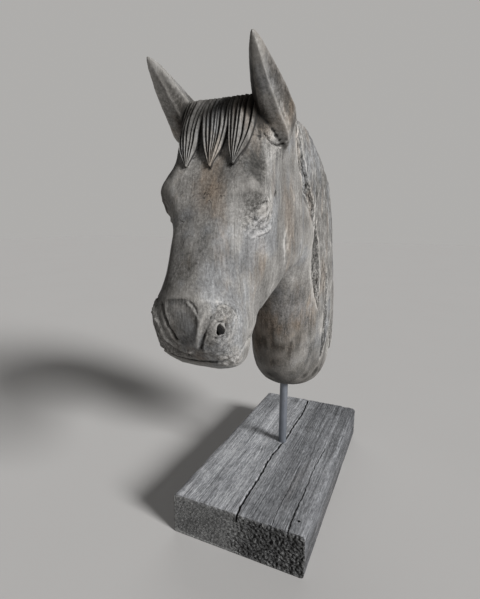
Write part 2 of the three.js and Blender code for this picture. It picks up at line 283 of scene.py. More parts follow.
horse = {
    "voxel": 1.05,               # mm, clay resolution before carving
    "triangles": 150000,         # kept after carving
    "faceLean": 24,              # face line leans this many degrees off plumb
    "pollY": -233,               # front edge of the flat-cut poll
    "pollZ": 581,
    "pollRise": 0.05,            # mm up for each mm back
    "earSpread": 56,             # sideways, at the tips
    "earTips": {-1: (-286, 613), 1: (-289, 617)},    # (y, z) right and left
    "earRoot": (49, -181, 541),
    "earHalfWidth": 21,
    "earHalfDepth": 21,
    "earWidest": 0.33,           # share of the length, from the root
    "earTwist": 26,              # degrees the planes turn outward towards the root
    "earFoot": (40, 20),         # mm from the root where softening begins, and is full
    "earSoftening": 24,          # rounds
    "patchDepth": 1.5,           # nose patch, below the rest
    "unevenness": 0.5,           # slow hand-cut wander of the surface
    "gougeDepth": 0.45,
    "chipHeight": 0.75,
    # flat planes round an ear: direction of each in degrees, and how far out it lies
    "earPlanes": [(-95, 0.93), (-25, 0.93), (30, 1.05), (85, 0.80), (150, 0.93), (212, 0.93)],
}

# Stations down the face: distance u from the poll; depth of the front; sideways and
# depth of the face edge, side, cheek and jaw edge; depth of the underjaw.
headStations = np.array([
    (-62, 60, 20, 62, 34, 75, 38, 105, 30, 135, 145),
    (-30, 20, 30, 21, 47, 40, 50, 90, 44, 135, 150),
    (0, 0, 38, 1, 51, 16, 53, 80, 50, 140, 156),
    (43, -1, 40, 1, 53, 20, 55, 85, 53, 152, 165),
    (65, -2, 40, -1, 51, 11, 56, 85, 55, 160, 172),
    (84, -3, 41, -4, 53, 3, 56, 85, 56, 170, 180),
    (102, -3, 40, -5, 55, 3, 56, 85, 56, 178, 188),
    (121, -3, 33, -1, 48, 19, 56, 85, 54, 168, 178),
    (140, -3, 28, 2, 43, 29, 55, 85, 50, 146, 156),
    (163, -3, 25, 2, 38, 25, 51, 75, 45, 131, 141),
    (187, -3, 22, 1, 36, 21, 46, 65, 40, 116, 127),
    (205, -3, 21, 1, 38, 20, 45, 58, 38, 103, 116),
    (218, -2, 21, 2, 43, 22, 47, 55, 38, 100, 110),
    (230, 2, 21, 5, 46, 27, 48, 58, 36, 98, 107),
    (248, 15, 23, 18, 44, 36, 46, 66, 35, 99, 107),
    (261, 33, 25, 37, 42, 48, 43, 72, 31, 96, 103),
    (268, 46, 20, 48, 36, 55, 37, 70, 24, 84, 90),
    (273, 58, 12, 59, 22, 62, 23, 67, 14, 72, 75),
], float)

# Level sections of the neck: height, half width, foremost and rearmost y, squareness.
neckStations = np.array([
    (168, 18, 36, 92, 2.0), (172, 32, 14, 108, 2.1), (184, 48, -16, 130, 2.2),
    (205, 57, -40, 147, 2.3), (232, 61, -54, 156, 2.4), (270, 63, -62, 160, 2.4),
    (330, 62, -72, 160, 2.4), (390, 59, -98, 156, 2.4), (430, 57, -128, 151, 2.7),
    (490, 53, -150, 132, 3.0), (520, 52, -155, 104, 3.0), (550, 48, -155, 60, 2.8),
    (573, 43, -150, 18, 2.5), (587, 36, -140, -14, 2.2), (594, 20, -115, -42, 2.0),
], float)

faceSin, faceCos = math.sin(math.radians(horse["faceLean"])), math.cos(math.radians(horse["faceLean"]))


def fromFace(face):
    # (sideways x, distance down the face u, depth v) to x, y, z
    face = np.asarray(face, float)
    x, u, v = face[..., 0], face[..., 1], face[..., 2]
    return np.stack([x, horse["pollY"] - faceSin * u + faceCos * v,
                     horse["pollZ"] - faceCos * u - faceSin * v], -1)


def toFace(points):
    # x, y, z to (sideways x, distance down the face u, depth v)
    dy, dz = points[..., 1] - horse["pollY"], points[..., 2] - horse["pollZ"]
    return np.stack([points[..., 0], -faceSin * dy - faceCos * dz, faceCos * dy - faceSin * dz], -1)


def ringCurve(ring, f):
    # closed cubic curve through the ring's points, knots spaced by the root of the chord
    n = len(ring)
    chord = np.sqrt(np.linalg.norm(np.roll(ring, -1, axis=0) - ring, axis=1))
    knots = np.concatenate([[0], np.cumsum(chord)])
    at = (f % 1) * knots[-1]
    k = np.clip(np.searchsorted(knots, at, side="right") - 1, 0, n - 1)
    t = ((at - knots[k]) / chord[k])[:, None]
    before, here, after = (chord[(k + m) % n][:, None] for m in (-1, 0, 1))
    a, b, d, e = (ring[(k + m) % n] for m in (-1, 0, 1, 2))
    m0 = here * ((b - a) / before - (d - a) / (before + here) + (d - b) / here)
    m1 = here * ((d - b) / here - (e - b) / (here + after) + (e - d) / after)
    return b + t * (m0 + t * (3 * (d - b) - 2 * m0 - m1 + t * (2 * (b - d) + m0 + m1)))


def headSection(u, f):
    # section at u as (x, v) points; f runs once round from the middle of the face
    front, *pairs, back = through(headStations[:, 0], headStations[:, 1:], u)[0]
    half = np.array([(0, front), *zip(pairs[::2], pairs[1::2]), (0, back)])
    mirror = half[1:5][::-1] * (-1, 1)
    return ringCurve(np.concatenate([half, mirror]), f)


def headShell(slices=230, sides=230):
    # sections at even steps down the face, kept below the flat cut of the poll
    f = 1 - np.arange(sides) / sides
    rings = []
    for u in np.linspace(headStations[0, 0], headStations[-1, 0], slices):
        section = headSection(u, f)
        rings.append(fromFace(np.column_stack([section[:, 0], np.full(sides, u), section[:, 1]])))
    rings = np.array(rings)
    cut = horse["pollZ"] + horse["pollRise"] * (rings[..., 1] - horse["pollY"])
    rings[..., 2] = np.minimum(rings[..., 2], cut)
    return closedSkin(rings)


def neckShell(slices=180, sides=220):
    # superellipse sections: x = half |sin|^(2/n), y = middle - reach |cos|^(2/n)
    i = np.linspace(0, 1, slices)
    eased = mixed(i, 0.5 - 0.5 * np.cos(np.pi * i), 0.6)
    z = mixed(neckStations[0, 0], neckStations[-1, 0], eased)
    half, front, back, square = through(neckStations[:, 0], neckStations[:, 1:], z).T[:, :, None]
    angle = 2 * np.pi * np.arange(sides) / sides
    sin, cos = np.sin(angle)[None], np.cos(angle)[None]
    sx = np.sign(sin) * np.abs(sin) ** (2 / square)
    sy = np.sign(cos) * np.abs(cos) ** (2 / square)
    middle, reach = (front + back) / 2, (back - front) / 2
    return closedSkin(np.stack([half * sx, middle - reach * sy, np.broadcast_to(z[:, None], sx.shape)], -1))


def earFrame(side):
    # root and tip of an ear, and two directions square to the line between them: one
    # outward, one up and back
    tipY, tipZ = horse["earTips"][side]
    root = np.array(horse["earRoot"], float) * (side, 1, 1)
    tip = np.array([side * horse["earSpread"], tipY, tipZ], float)
    axis = (tip - root) / np.linalg.norm(tip - root)
    square = []
    for direction in ([side, 0, 0.0], [0, 0, 1.0]):
        direction = direction - np.dot(direction, axis) * axis
        square.append(direction / np.linalg.norm(direction))
    return root, tip, *square


def earPoints(side, t, angle):
    # a leaf on a straight axis, widest a third of the way up; its section is a polygon
    # with softened corners, r = (sum of (cos(a - a_k) / d_k)^40)^(-1/40) over its planes
    root, tip, across, over = earFrame(side)
    widest = horse["earWidest"]
    leaf = (np.maximum(1 - t, 0) / (1 - widest)) ** 0.64
    below = (np.maximum(widest - t, 0) / widest) ** 2
    wide, deep = (np.where(t > widest, leaf, 1 - less * below)[:, None] for less in (0.7, 0.42))
    twist = math.radians(horse["earTwist"]) * (1 - t[:, None]) ** 2
    total = 0
    for degrees, away in horse["earPlanes"]:
        total = total + (np.maximum(0, np.cos(angle - twist - math.radians(degrees))) / away) ** 40
    reach = total ** (-1 / 40)
    return (mixed(root, tip, t[:, None])[:, None, :]
            + (reach * wide * horse["earHalfWidth"] * np.cos(angle))[..., None] * across
            + (reach * deep * horse["earHalfDepth"] * np.sin(angle))[..., None] * over)


def earShell(side, slices=90, sides=90):
    t = np.linspace(0, 1, slices) ** 0.9 * 0.995
    return closedSkin(earPoints(side, t, side * 2 * np.pi * np.arange(sides)[None] / sides))


head = newPiece("carved_horse_head", headShell(), neckShell(), earShell(-1), earShell(1))
clay(head, horse)

# Strokes in face coordinates (x, u, v): height, below 0 for a groove, half width,
# whether the right side has it too, path on the left side.
strokes = [
    # folds of the eye
    (-1.5, 1.6, True, [(55, 109, 20), (56, 106, 22), (57, 104, 25), (58, 105, 28)]),
    (1.5, 1.8, True, [(58, 102, 28), (58, 105, 34), (57, 112, 36), (56, 120, 31), (53, 126, 27),
                      (48, 129, 29)]),
    (-1.5, 1.5, True, [(58, 108, 39), (56, 116, 39), (54, 124, 34), (49, 130, 32)]),
    (1.1, 1.7, True, [(58, 110, 45), (55, 118, 44), (52, 125, 40), (47, 131, 31)]),
    (-0.7, 1.5, True, [(57, 112, 51), (54, 121, 49), (51, 128, 42)]),
    (1.1, 1.7, True, [(55, 118, 57), (53, 125, 51), (50, 131, 44), (46, 138, 36)]),
    (-0.9, 1.5, False, [(54, 123, 58), (50, 133, 46), (46, 141, 38)]),
    (-1.6, 1.8, True, [(52, 124, 22), (53, 126, 24)]),
    (1.0, 2.2, True, [(44, 127, 18), (45, 130, 23), (45, 133, 28)]),
    (0.7, 2.4, True, [(51, 119, 14), (52, 112, 13), (55, 105, 14), (57, 98, 18), (58, 94, 24)]),
    (1.0, 1.7, False, [(58, 97, 32), (58, 94, 34)]),
    (-1.5, 1.5, False, [(56, 86, 47), (56, 80, 49)]),
    (-1.3, 1.5, False, [(56, 113, 42), (55, 116, 43)]),
    # edge between the forehead and the side of the head
    (1.0, 10.0, True, [(43, 43, 2), (49, 49, 11), (53, 60, 17), (56, 74, 17), (57, 88, 14), (58, 99, 14)]),
    (0.5, 1.8, True, [(56, 82, 15), (57, 91, 14), (57, 101, 15)]),
    # crease behind the cheek
    (-1.4, 2.4, True, [(57, 10, 112), (57, 26, 124), (60, 62, 137), (62, 98, 149), (58, 118, 160)]),
    (0.6, 4.0, True, [(57, 14, 104), (59, 40, 120), (61, 64, 130), (61, 98, 142)]),
    # long pale scratch
    (0.8, 1.5, False, [(57, 102, 102), (57, 115, 99), (57, 130, 106), (57, 137, 111)]),
    (0.5, 1.5, False, [(59, 103, 115), (58, 114, 113), (58, 123, 110)]),
    # knife marks below the left ear
    (-1.6, 1.6, True, [(49, 37, 12), (52, 40, 20), (54, 38, 28), (55, 34, 36), (58, 27, 45)]),
    (-1.4, 1.5, True, [(52, 42, 21), (53, 46, 28)]),
    (1.2, 2.0, True, [(50, 42, 14), (53, 44, 23), (55, 40, 32), (57, 33, 42)]),
    # wing of the right nostril and the groove outside it
    (2.2, 4.2, False, [(-36, 226, 14), (-30, 235, 12), (-26, 245, 17), (-23, 252, 24), (-17, 257, 29),
                       (-8, 261, 34), (2, 262, 35)]),
    (-1.6, 3.0, False, [(-40, 238, 22), (-35, 250, 29), (-26, 256, 31), (-15, 261, 36), (-4, 265, 40)]),
    (-2.6, 2.8, False, [(-24, 222, 3), (-19, 232, 5), (-15, 241, 10), (-12, 248, 16), (-10, 253, 22)]),
    # strip beside the nose patch, channel, and rim of the left nostril
    (1.0, 2.0, False, [(7, 219, -1), (12, 223, 1), (17, 229, 4), (19, 233, 6)]),
    (1.5, 4.0, False, [(24, 226, 7), (21, 234, 8), (18, 243, 13), (14, 251, 21), (12, 257, 28)]),
    (-1.2, 3.4, False, [(31, 219, 9), (31, 226, 9), (30, 230, 10)]),
    (-2.2, 4.2, False, [(30, 230, 10), (28, 236, 12), (25, 242, 15), (20, 251, 22), (15, 258, 30)]),
    (1.6, 2.0, False, [(18, 257, 28), (23, 248, 19), (27, 240, 14), (30, 235, 13), (33, 230, 15),
                       (37, 227, 20)]),
    (1.3, 2.8, False, [(37, 217, 16), (43, 218, 23), (46, 225, 28), (46, 233, 28), (41, 243, 29),
                       (32, 252, 31)]),
    (-1.2, 1.8, True, [(32, 218, 10), (36, 214, 14), (43, 215, 23), (48, 222, 30)]),
    (-2.2, 3.4, True, [(34, 230, 17), (38, 231, 21), (40, 237, 23), (38, 243, 24), (33, 246, 22)]),
    (1.0, 3.0, False, [(17, 259, 33), (26, 257, 32), (35, 252, 31)]),
    # right nostril, seen edge on
    (1.2, 2.4, False, [(-24, 247, 17), (-27, 240, 13), (-32, 234, 12), (-36, 229, 17), (-41, 228, 23)]),
    # mouth
    (-4.0, 2.2, True, [(0, 268, 50), (12, 268, 50), (24, 266, 51), (38, 260, 51), (45, 251, 56),
                       (46, 239, 67), (44, 231, 80)]),
    (1.0, 2.6, True, [(0, 264, 44), (12, 264, 45), (25, 262, 46), (38, 256, 47), (45, 247, 52)]),
    (-2.4, 2.6, True, [(44, 233, 78), (44, 231, 83)]),
]

nosePatch = [(-17, 219), (-9, 217), (2, 216), (12, 218), (18, 224), (19, 231), (17, 241), (13, 251), (4, 256),
             (-6, 256), (-11, 252), (-12, 243), (-15, 232)]

# Soft swellings and hollows: place, reach, height, whether the right side has it too.
swellings = [
    ((54, 115, 28), (10, 20, 20), 1.6, True),     # lids
    ((55, 117, 21), (4, 7, 5), 1.8, True),        # eyeball
    ((48, 78, 1), (12, 26, 9), -3.0, True),       # temple
    ((38, 233, 18), (13, 15, 13), 2.6, True),     # nostril wings
    ((50, 150, 45), (20, 26, 20), -1.5, True),    # below the eye
    ((0, 170, 0), (12, 50, 20), 0.8, False),      # bridge of the nose
]

sawMarks = (6, 108, -3)    # middle of the saw marks on the forehead

# Patches of tone, real stains and painted shade: place, reach, how much lighter (or
# darker, below 0), how much browner, and whether the right side has it too.
stainsAndPaintedShade = [
    ((0, 165, 0), (28, 55, 24), -1.0, 0.0, False),    # bridge of the nose: dark stain, deepened by painted shade on the front of the face
    (sawMarks, (13, 24, 20), 0.1, 0.7, False),
    ((-6, 96, -2), (40, 40, 14), 0.3, 0.25, False),   # forehead
    ((0, -3, -4), (70, 17, 12), -4.0, 0.3, False),    # painted shade under the edge of the poll
    ((50, 84, 8), (14, 30, 13), -5.2, 0.0, True),     # painted shade in the temple hollow
    ((55, 56, 26), (10, 30, 11), 1.6, -0.6, True),    # beside it
    ((58, 120, 78), (14, 22, 30), -0.4, -0.5, True),
    ((58, 80, 120), (16, 60, 34), -0.8, 0.2, True),
    ((56, 60, 44), (12, 40, 18), -0.2, 0.0, True),    # upper cheek
    ((55, 114, 34), (12, 24, 22), 1.9, 0.2, True),    # eye
    ((47, 23, 5), (10, 20, 10), -4.0, 0.3, True),     # painted shadow between the ear and the forelock
    ((0, 214, 295), (44, 60, 16), -3.6, 0.7, False),  # painted shadow on the front of the neck, under the jaw
    # painted shade on the right cheek, turned away from the light
    ((-54, 150, 40), (14, 70, 40), -2.2, 0.5, False),
    ((52, 150, 50), (16, 40, 34), 0.0, 0.3, True),
    ((46, 205, 44), (14, 30, 26), 0.5, 0.0, True),    # side of the muzzle
    ((0, 262, 40), (40, 12, 14), -1.2, 0.2, False),   # front of the lip
    ((40, 262, 50), (14, 12, 16), 0.9, 0.2, True),
    ((0, 253, 368), (90, 60, 70), -5.4, 0.4, False),  # foot of the neck
    ((0, 165, 265), (90, 60, 50), -1.2, 0.5, False),  # painted shadow on the throat, under the jaw
    ((52, 28, 36), (12, 10, 20), -3.0, 0.0, True),    # painted shade under the ear
    ((50, -22, -16), (22, 40, 16), -0.8, 0.2, False),  # painted shade on the front of the left ear
    ((-50, -25, 5), (24, 50, 40), 0.4, 0.0, False),   # right ear
    ((56, -52, 20), (30, 12, 30), 0.6, 0.6, True),    # tip of the ear
]

# Painted highlights on ridges and lids, painted shade in grooves and creases, and pale scratches: tone, half
# width, whether the right side has it too, path.
highlightShadeAndScratchLines = [
    (1.0, 4.0, True, [(45, 44, 4), (50, 50, 13), (55, 60, 19), (57, 74, 21)]),
    (1.8, 3.0, True, [(56, 78, 18), (57, 90, 16), (57, 100, 16)]),
    (4.0, 2.2, True, [(54, 122, 21), (55, 117, 22), (56, 112, 24), (57, 109, 26)]),
    (-5.0, 1.5, True, [(56, 106, 22), (57, 104, 24), (58, 105, 27)]),
    (-1.6, 2.0, True, [(53, 118, 16), (54, 112, 17), (55, 108, 19)]),
    (-3.0, 1.6, True, [(52, 124, 22), (54, 126, 25)]),
    (4.0, 1.6, True, [(58, 102, 28), (58, 106, 34), (57, 112, 36), (56, 120, 31), (53, 126, 27),
                      (48, 129, 29)]),
    (-3.0, 1.5, True, [(58, 108, 39), (56, 116, 39), (54, 124, 34), (49, 130, 32)]),
    (2.6, 1.5, True, [(55, 118, 57), (53, 125, 51), (50, 131, 44), (46, 138, 36)]),
    (2.4, 2.5, True, [(44, 126, 18), (45, 130, 23), (45, 134, 28)]),
    (3.5, 1.6, False, [(58, 97, 32), (58, 94, 34)]),
    (-5.0, 1.4, False, [(56, 86, 47), (56, 80, 49)]),
    (-5.0, 1.4, False, [(56, 112, 42), (55, 117, 43)]),
    (3.0, 1.6, False, [(57, 102, 102), (57, 115, 99), (57, 130, 106), (57, 137, 111)]),
    (2.2, 1.5, False, [(59, 103, 115), (58, 114, 113), (58, 123, 110)]),
    (-3.0, 1.6, True, [(49, 37, 12), (52, 40, 20), (54, 38, 28), (55, 34, 36), (58, 27, 45)]),
    (2.0, 1.8, True, [(50, 43, 14), (53, 45, 23), (55, 42, 32), (57, 35, 42)]),
    (2.2, 1.8, False, [(-36, 226, 14), (-30, 235, 12), (-26, 245, 17), (-23, 252, 24), (-17, 257, 29)]),
    (-1.6, 2.8, False, [(-24, 222, 3), (-19, 232, 5), (-15, 241, 10), (-12, 248, 16), (-10, 253, 22)]),
    (2.2, 1.5, False, [(9, 219, -1), (13, 223, 1), (18, 229, 4), (19, 233, 6)]),
    (-1.4, 3.4, False, [(29, 234, 11), (25, 242, 15), (20, 251, 22), (15, 258, 30)]),
    (2.2, 1.5, False, [(27, 240, 14), (30, 235, 13), (33, 230, 15), (37, 227, 20)]),
    (2.0, 1.8, False, [(28, 214, 6), (32, 213, 10), (36, 212, 14)]),
    (1.6, 2.6, False, [(45, 220, 25), (46, 230, 28), (42, 242, 29)]),
    (-4.0, 1.6, False, [(44, 229, 80), (44, 233, 82)]),
    (-3.0, 1.6, True, [(0, 269, 52), (12, 269, 52), (24, 267, 52), (36, 262, 51)]),
]

# Painted light and shade in bands down each ear, a highlight along the ridge and shade on the planes turned
# from the light: tone, how much browner, degrees round it, half width in degrees.
earHighlightAndShadeBands = [(-7.0, 0.6, -144, 28), (4.2, 0, -84, 22), (3.0, 0, -62, 5), (-2.0, 0, -54, 4), (3.0, 0, -47, 4),
            (-3.0, 0.5, 0, 46), (1.5, 0, -12, 3)]

# Places that the knife left splintered: place, reach, how much, whether the right
# side has it too.
splinters = [
    ((54, 118, 32), (11, 26, 28), 1.0, True),         # eye
    ((48, 128, 22), (10, 14, 14), 0.8, True),
    ((52, 40, 26), (14, 9, 26), 1.0, True),           # under the ear
    ((44, 262, 54), (18, 9, 16), 1.0, True),          # lip
    ((40, 220, 20), (12, 7, 12), 1.0, True),
    ((38, 240, 26), (18, 28, 26), 0.75, True),        # side of the muzzle
    ((-20, 264, 38), (30, 6, 10), 0.8, False),
    ((60, -40, 20), (12, 14, 14), 0.8, True),         # upper edge of the ear
    ((54, -16, 10), (26, 50, 40), 0.45, True),        # rest of the ear
    ((54, 70, 18), (8, 30, 12), 0.5, True),           # edge of the temple
]

# Rough hollows cut beside the locks of the mane: outline as (y, z), depth.
hollows = [
    ([(-133, 570), (-139, 552), (-139, 538), (-135, 522), (-117, 507), (-84, 490), (-62, 470), (-43, 448),
      (-46, 471), (-57, 491), (-78, 511), (-90, 530), (-96, 548), (-97, 562), (-104, 577)], 4.6),
    ([(-41, 446), (-46, 426), (-48, 410), (-41, 380), (-29, 354), (-19, 334), (-9, 318),
      (-8, 332), (-11, 353), (-11, 377), (-19, 402), (-28, 426), (-37, 444)], 4.2),
    ([(20, 376), (17, 323), (15, 283), (13, 249), (15, 229),
      (31, 231), (34, 264), (31, 300), (29, 340), (27, 372)], 2.4),
    ([(58, 262), (57, 240), (61, 224), (70, 226), (70, 250)], 3.0),
]

maneShape = {
    "start": (-142, 614),
    "bends": [((-142, 530), (-112, 502)), ((-72, 486), (-40, 446)), ((-42, 462), (-43, 474)),
              ((-34, 390), (-7, 318)), ((-4, 350), (4, 385)), ((26, 300), (16, 230)),
              ((40, 250), (52, 280)), ((74, 240), (120, 205))],
    "end": [(220, 205), (220, 614)],
    "relief": 1.8,           # stands this far proud
    "stopCut": 1.0,          # depth of the cut round it
    "strandHeight": 1.1,
    "barkHeight": 1.5,       # rougher patch behind the ear
    "barkFrom": (440, 500),  # height where the patch begins, and is full
}


def manePath(steps=10):
    # the outline's bends are quadratic curves: (1-t)^2 a + 2t(1-t) b + t^2 c
    t = np.linspace(0, 1, steps + 1)[1:, None]
    a = np.array(maneShape["start"], float)
    points = [a[None]]
    for bend, end in maneShape["bends"]:
        b, c = np.array(bend, float), np.array(end, float)
        points.append((1 - t) ** 2 * a + 2 * t * (1 - t) * b + t ** 2 * c)
        a = c
    return np.concatenate(points + [np.array(maneShape["end"], float)])


def sidesOf(both):
    # 1 for the left side, -1 for the right one
    return (1, -1) if both else (1,)


def spot(face, place, reach, side=1):
    # exp(-r^2), with r the distance from the place, each axis counted in its reach
    away = (face - np.array(place) * (side, 1, 1)) / np.array(reach)
    return np.exp(-(away ** 2).sum(1))


def carve(points, normals, path, height, width):
    # height * (1 - d / width)^1.3 along the normal, d the distance to the stroke,
    # uneven along it as a knife leaves it
    path = nearestOn(points, fromFace(smoothPath(path, 5)))
    close, d = distanceTo(points, path, width)
    uneven = 1 + 0.5 * valueNoise(points[close], 6, 43)
    points[close] += normals[close] * (height * uneven * np.maximum(0, 1 - d / width) ** 1.3)[:, None]


def splintered(face):
    # sum of strength exp(-(away / reach)^2) over the splintered places
    total = np.zeros(len(face))
    for place, reach, strength, both in splinters:
        for side in sidesOf(both):
            total += strength * spot(face, place, reach, side)
    return np.minimum(total, 1)


def inNosePatch(face, low, high):
    # 0 to 1 between two signed distances inside the outline of the nose patch, worked
    # out on the front of the muzzle only
    front = (face[:, 1] > 205) & (face[:, 1] < 265) & (face[:, 2] < 40) & (np.abs(face[:, 0]) < 30)
    share = np.zeros(len(face))
    share[front] = smoothStep(low, high, insideOf(face[front, :2], smoothOutline(nosePatch, 4)))
    return share


def inMane(points, face):
    # the part of the neck that may bear the mane, and signed distance inside its outline
    zone = (points[:, 1] > -150) & (points[:, 2] > 190) & (face[:, 2] > 20)
    inside = np.full(len(points), -50.0)
    inside[zone] = insideOf(points[zone][:, 1:], manePath())
    return zone, inside


def inHollow(points, zone):
    # signed distance inside each hollow of the mane, kept where it is greatest
    flat = points[zone][:, 1:]
    depth, inside = np.zeros(len(flat)), np.full(len(flat), -50.0)
    for outline, deep in hollows:
        away = insideOf(flat, smoothOutline(outline, 3))
        depth = np.where(away > inside, deep, depth)
        inside = np.maximum(inside, away)
    return inside, depth


def sculpt(mesh):
    points, normals, edges = surfaceOf(mesh)

    # the ears grow out of the head in a soft hollow
    roots = np.array([horse["earRoot"], np.array(horse["earRoot"]) * (-1, 1, 1)], float)
    near = np.minimum(*[np.linalg.norm(points - r, axis=1) for r in roots])
    blend = smoothStep(*horse["earFoot"], near)[:, None] * 0.9
    points = mixed(points, softened(points, edges, horse["earSoftening"]), blend)
    face = toFace(points)

    for place, reach, height, both in swellings:
        for side in sidesOf(both):
            points += normals * (height * spot(face, place, reach, side))[:, None]

    # nose patch: sunk flat inside its outline
    patch = inNosePatch(face, -0.8, 1.2)
    points -= normals * (horse["patchDepth"] * patch)[:, None]

    # mane: stands proud inside its outline, behind a stop cut
    flank = (np.abs(normals[:, 0]) > 0.15) | (points[:, 1] > 60)
    zone, mane = inMane(points, face)
    raised = smoothStep(-0.3, 1.6, mane)
    bite = np.maximum(0, 1 - np.abs(mane + 1.0) / 1.6) * flank * (1 + 0.5 * valueNoise(points, 14, 47))
    strand = layeredNoise(points * (1, 1, 0.09) + 7, 3.6, 31)
    bark = layeredNoise(points * (1, 1, 0.35), 3.0, 57)
    barky = smoothStep(*maneShape["barkFrom"], points[:, 2]) * 0.4
    rough = (maneShape["strandHeight"] - 0.5 * barky) * strand + barky * maneShape["barkHeight"] * bark
    push = raised * (maneShape["relief"] + rough) - maneShape["stopCut"] * bite
    # crisp front wall, then a rough floor that climbs back
    inside, deep = inHollow(points, zone)
    jagged = inside + 0.9 * valueNoise(points[zone] * (1, 1, 0.4), 3.5, 77)
    floor = smoothStep(0, 1.5, jagged) * deep
    push[zone] -= floor * (1 + 0.35 * layeredNoise(points[zone] * (1, 1, 0.3), 3.2, 83)) * flank[zone]
    points += normals * push[:, None]

    for height, width, both, path in strokes:
        for side in sidesOf(both):
            carve(points, normals, np.array(path) * (side, 1, 1), height, width)
    report("strokes carved")

    # hand-cut unevenness all over, and flat gouge facets on the neck and cheeks
    wander = layeredNoise(points, 34, 3, 3)
    gouge = np.abs(valueNoise(points * (1, 1, 0.45), 13, 11)) * (1 + smoothStep(380, 330, points[:, 2]))
    gouge = horse["gougeDepth"] * gouge * (1 - raised) * (1 - patch)
    points += normals * (horse["unevenness"] * wander - gouge)[:, None]

    chips = splintered(toFace(points))
    points += normals * (chips * horse["chipHeight"] * layeredNoise(points, 3.0, 19))[:, None]

    # ragged upper edge of the ears
    for side in (1, -1):
        ragged = spot(toFace(points), (58, -34, 22), (22, 30, 12), side)
        points += normals * (ragged * 1.5 * layeredNoise(points, 7.0, 97))[:, None]

    # crumbling lower lip on the left
    lip = spot(face, (36, 262, 52), (14, 7, 10))
    points += normals * (lip * 1.6 * layeredNoise(points, 3.2, 91))[:, None]

    # rough knife work where the ears meet the head
    ring = np.exp(-((near - 27) / 7) ** 2) * (points[:, 1] > -236)
    points += normals * (ring * 0.7 * layeredNoise(points, 4.0, 71))[:, None]

    putPoints(mesh, points)


sculpt(head.data)
report("head carved")
thinned(head, horse)
report(f"head thinned: {len(head.data.polygons)} triangles")

forelock = {
    "height": 7.0,       # mm above the forehead
    "sink": 4,           # mm into it
    "groove": 6.5,       # depth between the strands
    "rows": 80,
    "perStrand": 12,     # columns to each strand
    # each edge at the top, a quarter, half way and three quarters down; tip (x, u)
    "tufts": [
        {"left": (-37, -40, -43, -37), "right": (-4, -14, -18, -17), "tip": (-23, 80), "strands": 6},
        {"left": (-10, -17, -15, -8), "right": (21, 15, 15, 13), "tip": (3.5, 80), "strands": 7},
        {"left": (18, 14, 16, 21), "right": (43, 43, 42, 39), "tip": (29.5, 79), "strands": 6},
    ],
}


def faceDepth(x, u):
    # depth of the front of the head at sideways x on one row u
    f = np.linspace(0, 0.3, 120)
    section = headSection(u, f)
    rising = np.maximum.accumulate(section[:, 0])
    return np.interp(np.abs(x), rising + np.arange(120) * 1e-6, section[:, 1])


def tuftShell(tuft, seed):
    # rows down the face; across, each strand is a rounded crest between V grooves:
    # height = top - groove (1 - |sin(pi n s)|^0.7), tilted a little to one side
    rows, n = forelock["rows"], tuft["strands"]
    columns = n * forelock["perStrand"] + 1
    random = np.random.RandomState(seed)
    t = np.linspace(0, 1, rows)
    at = [0, 0.25, 0.5, 0.75, 1]
    left = through(at, (*tuft["left"], tuft["tip"][0] - 1.2), t)
    right = through(at, (*tuft["right"], tuft["tip"][0] + 1.2), t)
    bounds = np.concatenate([[0], np.cumsum(random.uniform(0.55, 1.45, n))])
    bounds /= bounds[-1]
    share = np.linspace(0, n, columns)
    s = np.interp(share, np.arange(n + 1), bounds)
    crest = np.abs(np.sin(np.pi * share)) ** 0.7 - 0.15 * (share % 1)
    edge = np.minimum(share, n - share) < 0.5
    deep = np.where(edge, 1, np.interp(share, np.arange(n + 1), random.uniform(0.7, 1.15, n + 1)))
    rings = []
    for k, row in enumerate(t):
        u = mixed(-7, tuft["tip"][1], row)
        sway = 0.022 * np.sin(row * 6 + share * 1.9 + seed) * np.sin(np.pi * s)
        x = mixed(left[k], right[k], s + sway)
        fade = 1 - 0.5 * smoothStep(0.75, 1, row)
        crown = 0.72 + 0.28 * np.sin(np.pi * s) ** 0.6
        narrowing = smoothStep(-2, 10, right[k] - left[k])
        groove = forelock["groove"] * min(1, 0.15 + 4 * row) * deep * narrowing
        wave = 0.35 * np.sin(row * 9 + share * 1.3) + 0.5 * np.sin(row * 3 + np.floor(share) * 2.4)
        top = forelock["height"] * crown - groove * (1 - crest) + wave * narrowing
        depth = faceDepth(x, u)
        upper = np.column_stack([x, np.full(columns, u), depth - np.maximum(top, 0.4) * fade])
        lower = np.column_stack([x, np.full(columns, u), depth + forelock["sink"]])[::-1]
        rings.append(fromFace(np.concatenate([upper, lower])))
    rings = np.array(rings)
    cut = horse["pollZ"] + 0.3 + horse["pollRise"] * (rings[..., 1] - horse["pollY"])
    rings[..., 2] = np.minimum(rings[..., 2], cut)
    return closedSkin(rings[:, ::-1])


for number, tuft in enumerate(forelock["tufts"]):
    joined(head, newPiece(f"tuft{number}", tuftShell(tuft, 5 + number)), "UNION")
    report(f"tuft {number + 1} joined: {len(head.data.polygons)} faces")


nostril = {
    "mouth": (42, 238, 13),      # middle of the opening, face coordinates
    "bottom": (27, 240, 32),
    "halfWidth": 3.5,
    "halfLength": 5.2,
}


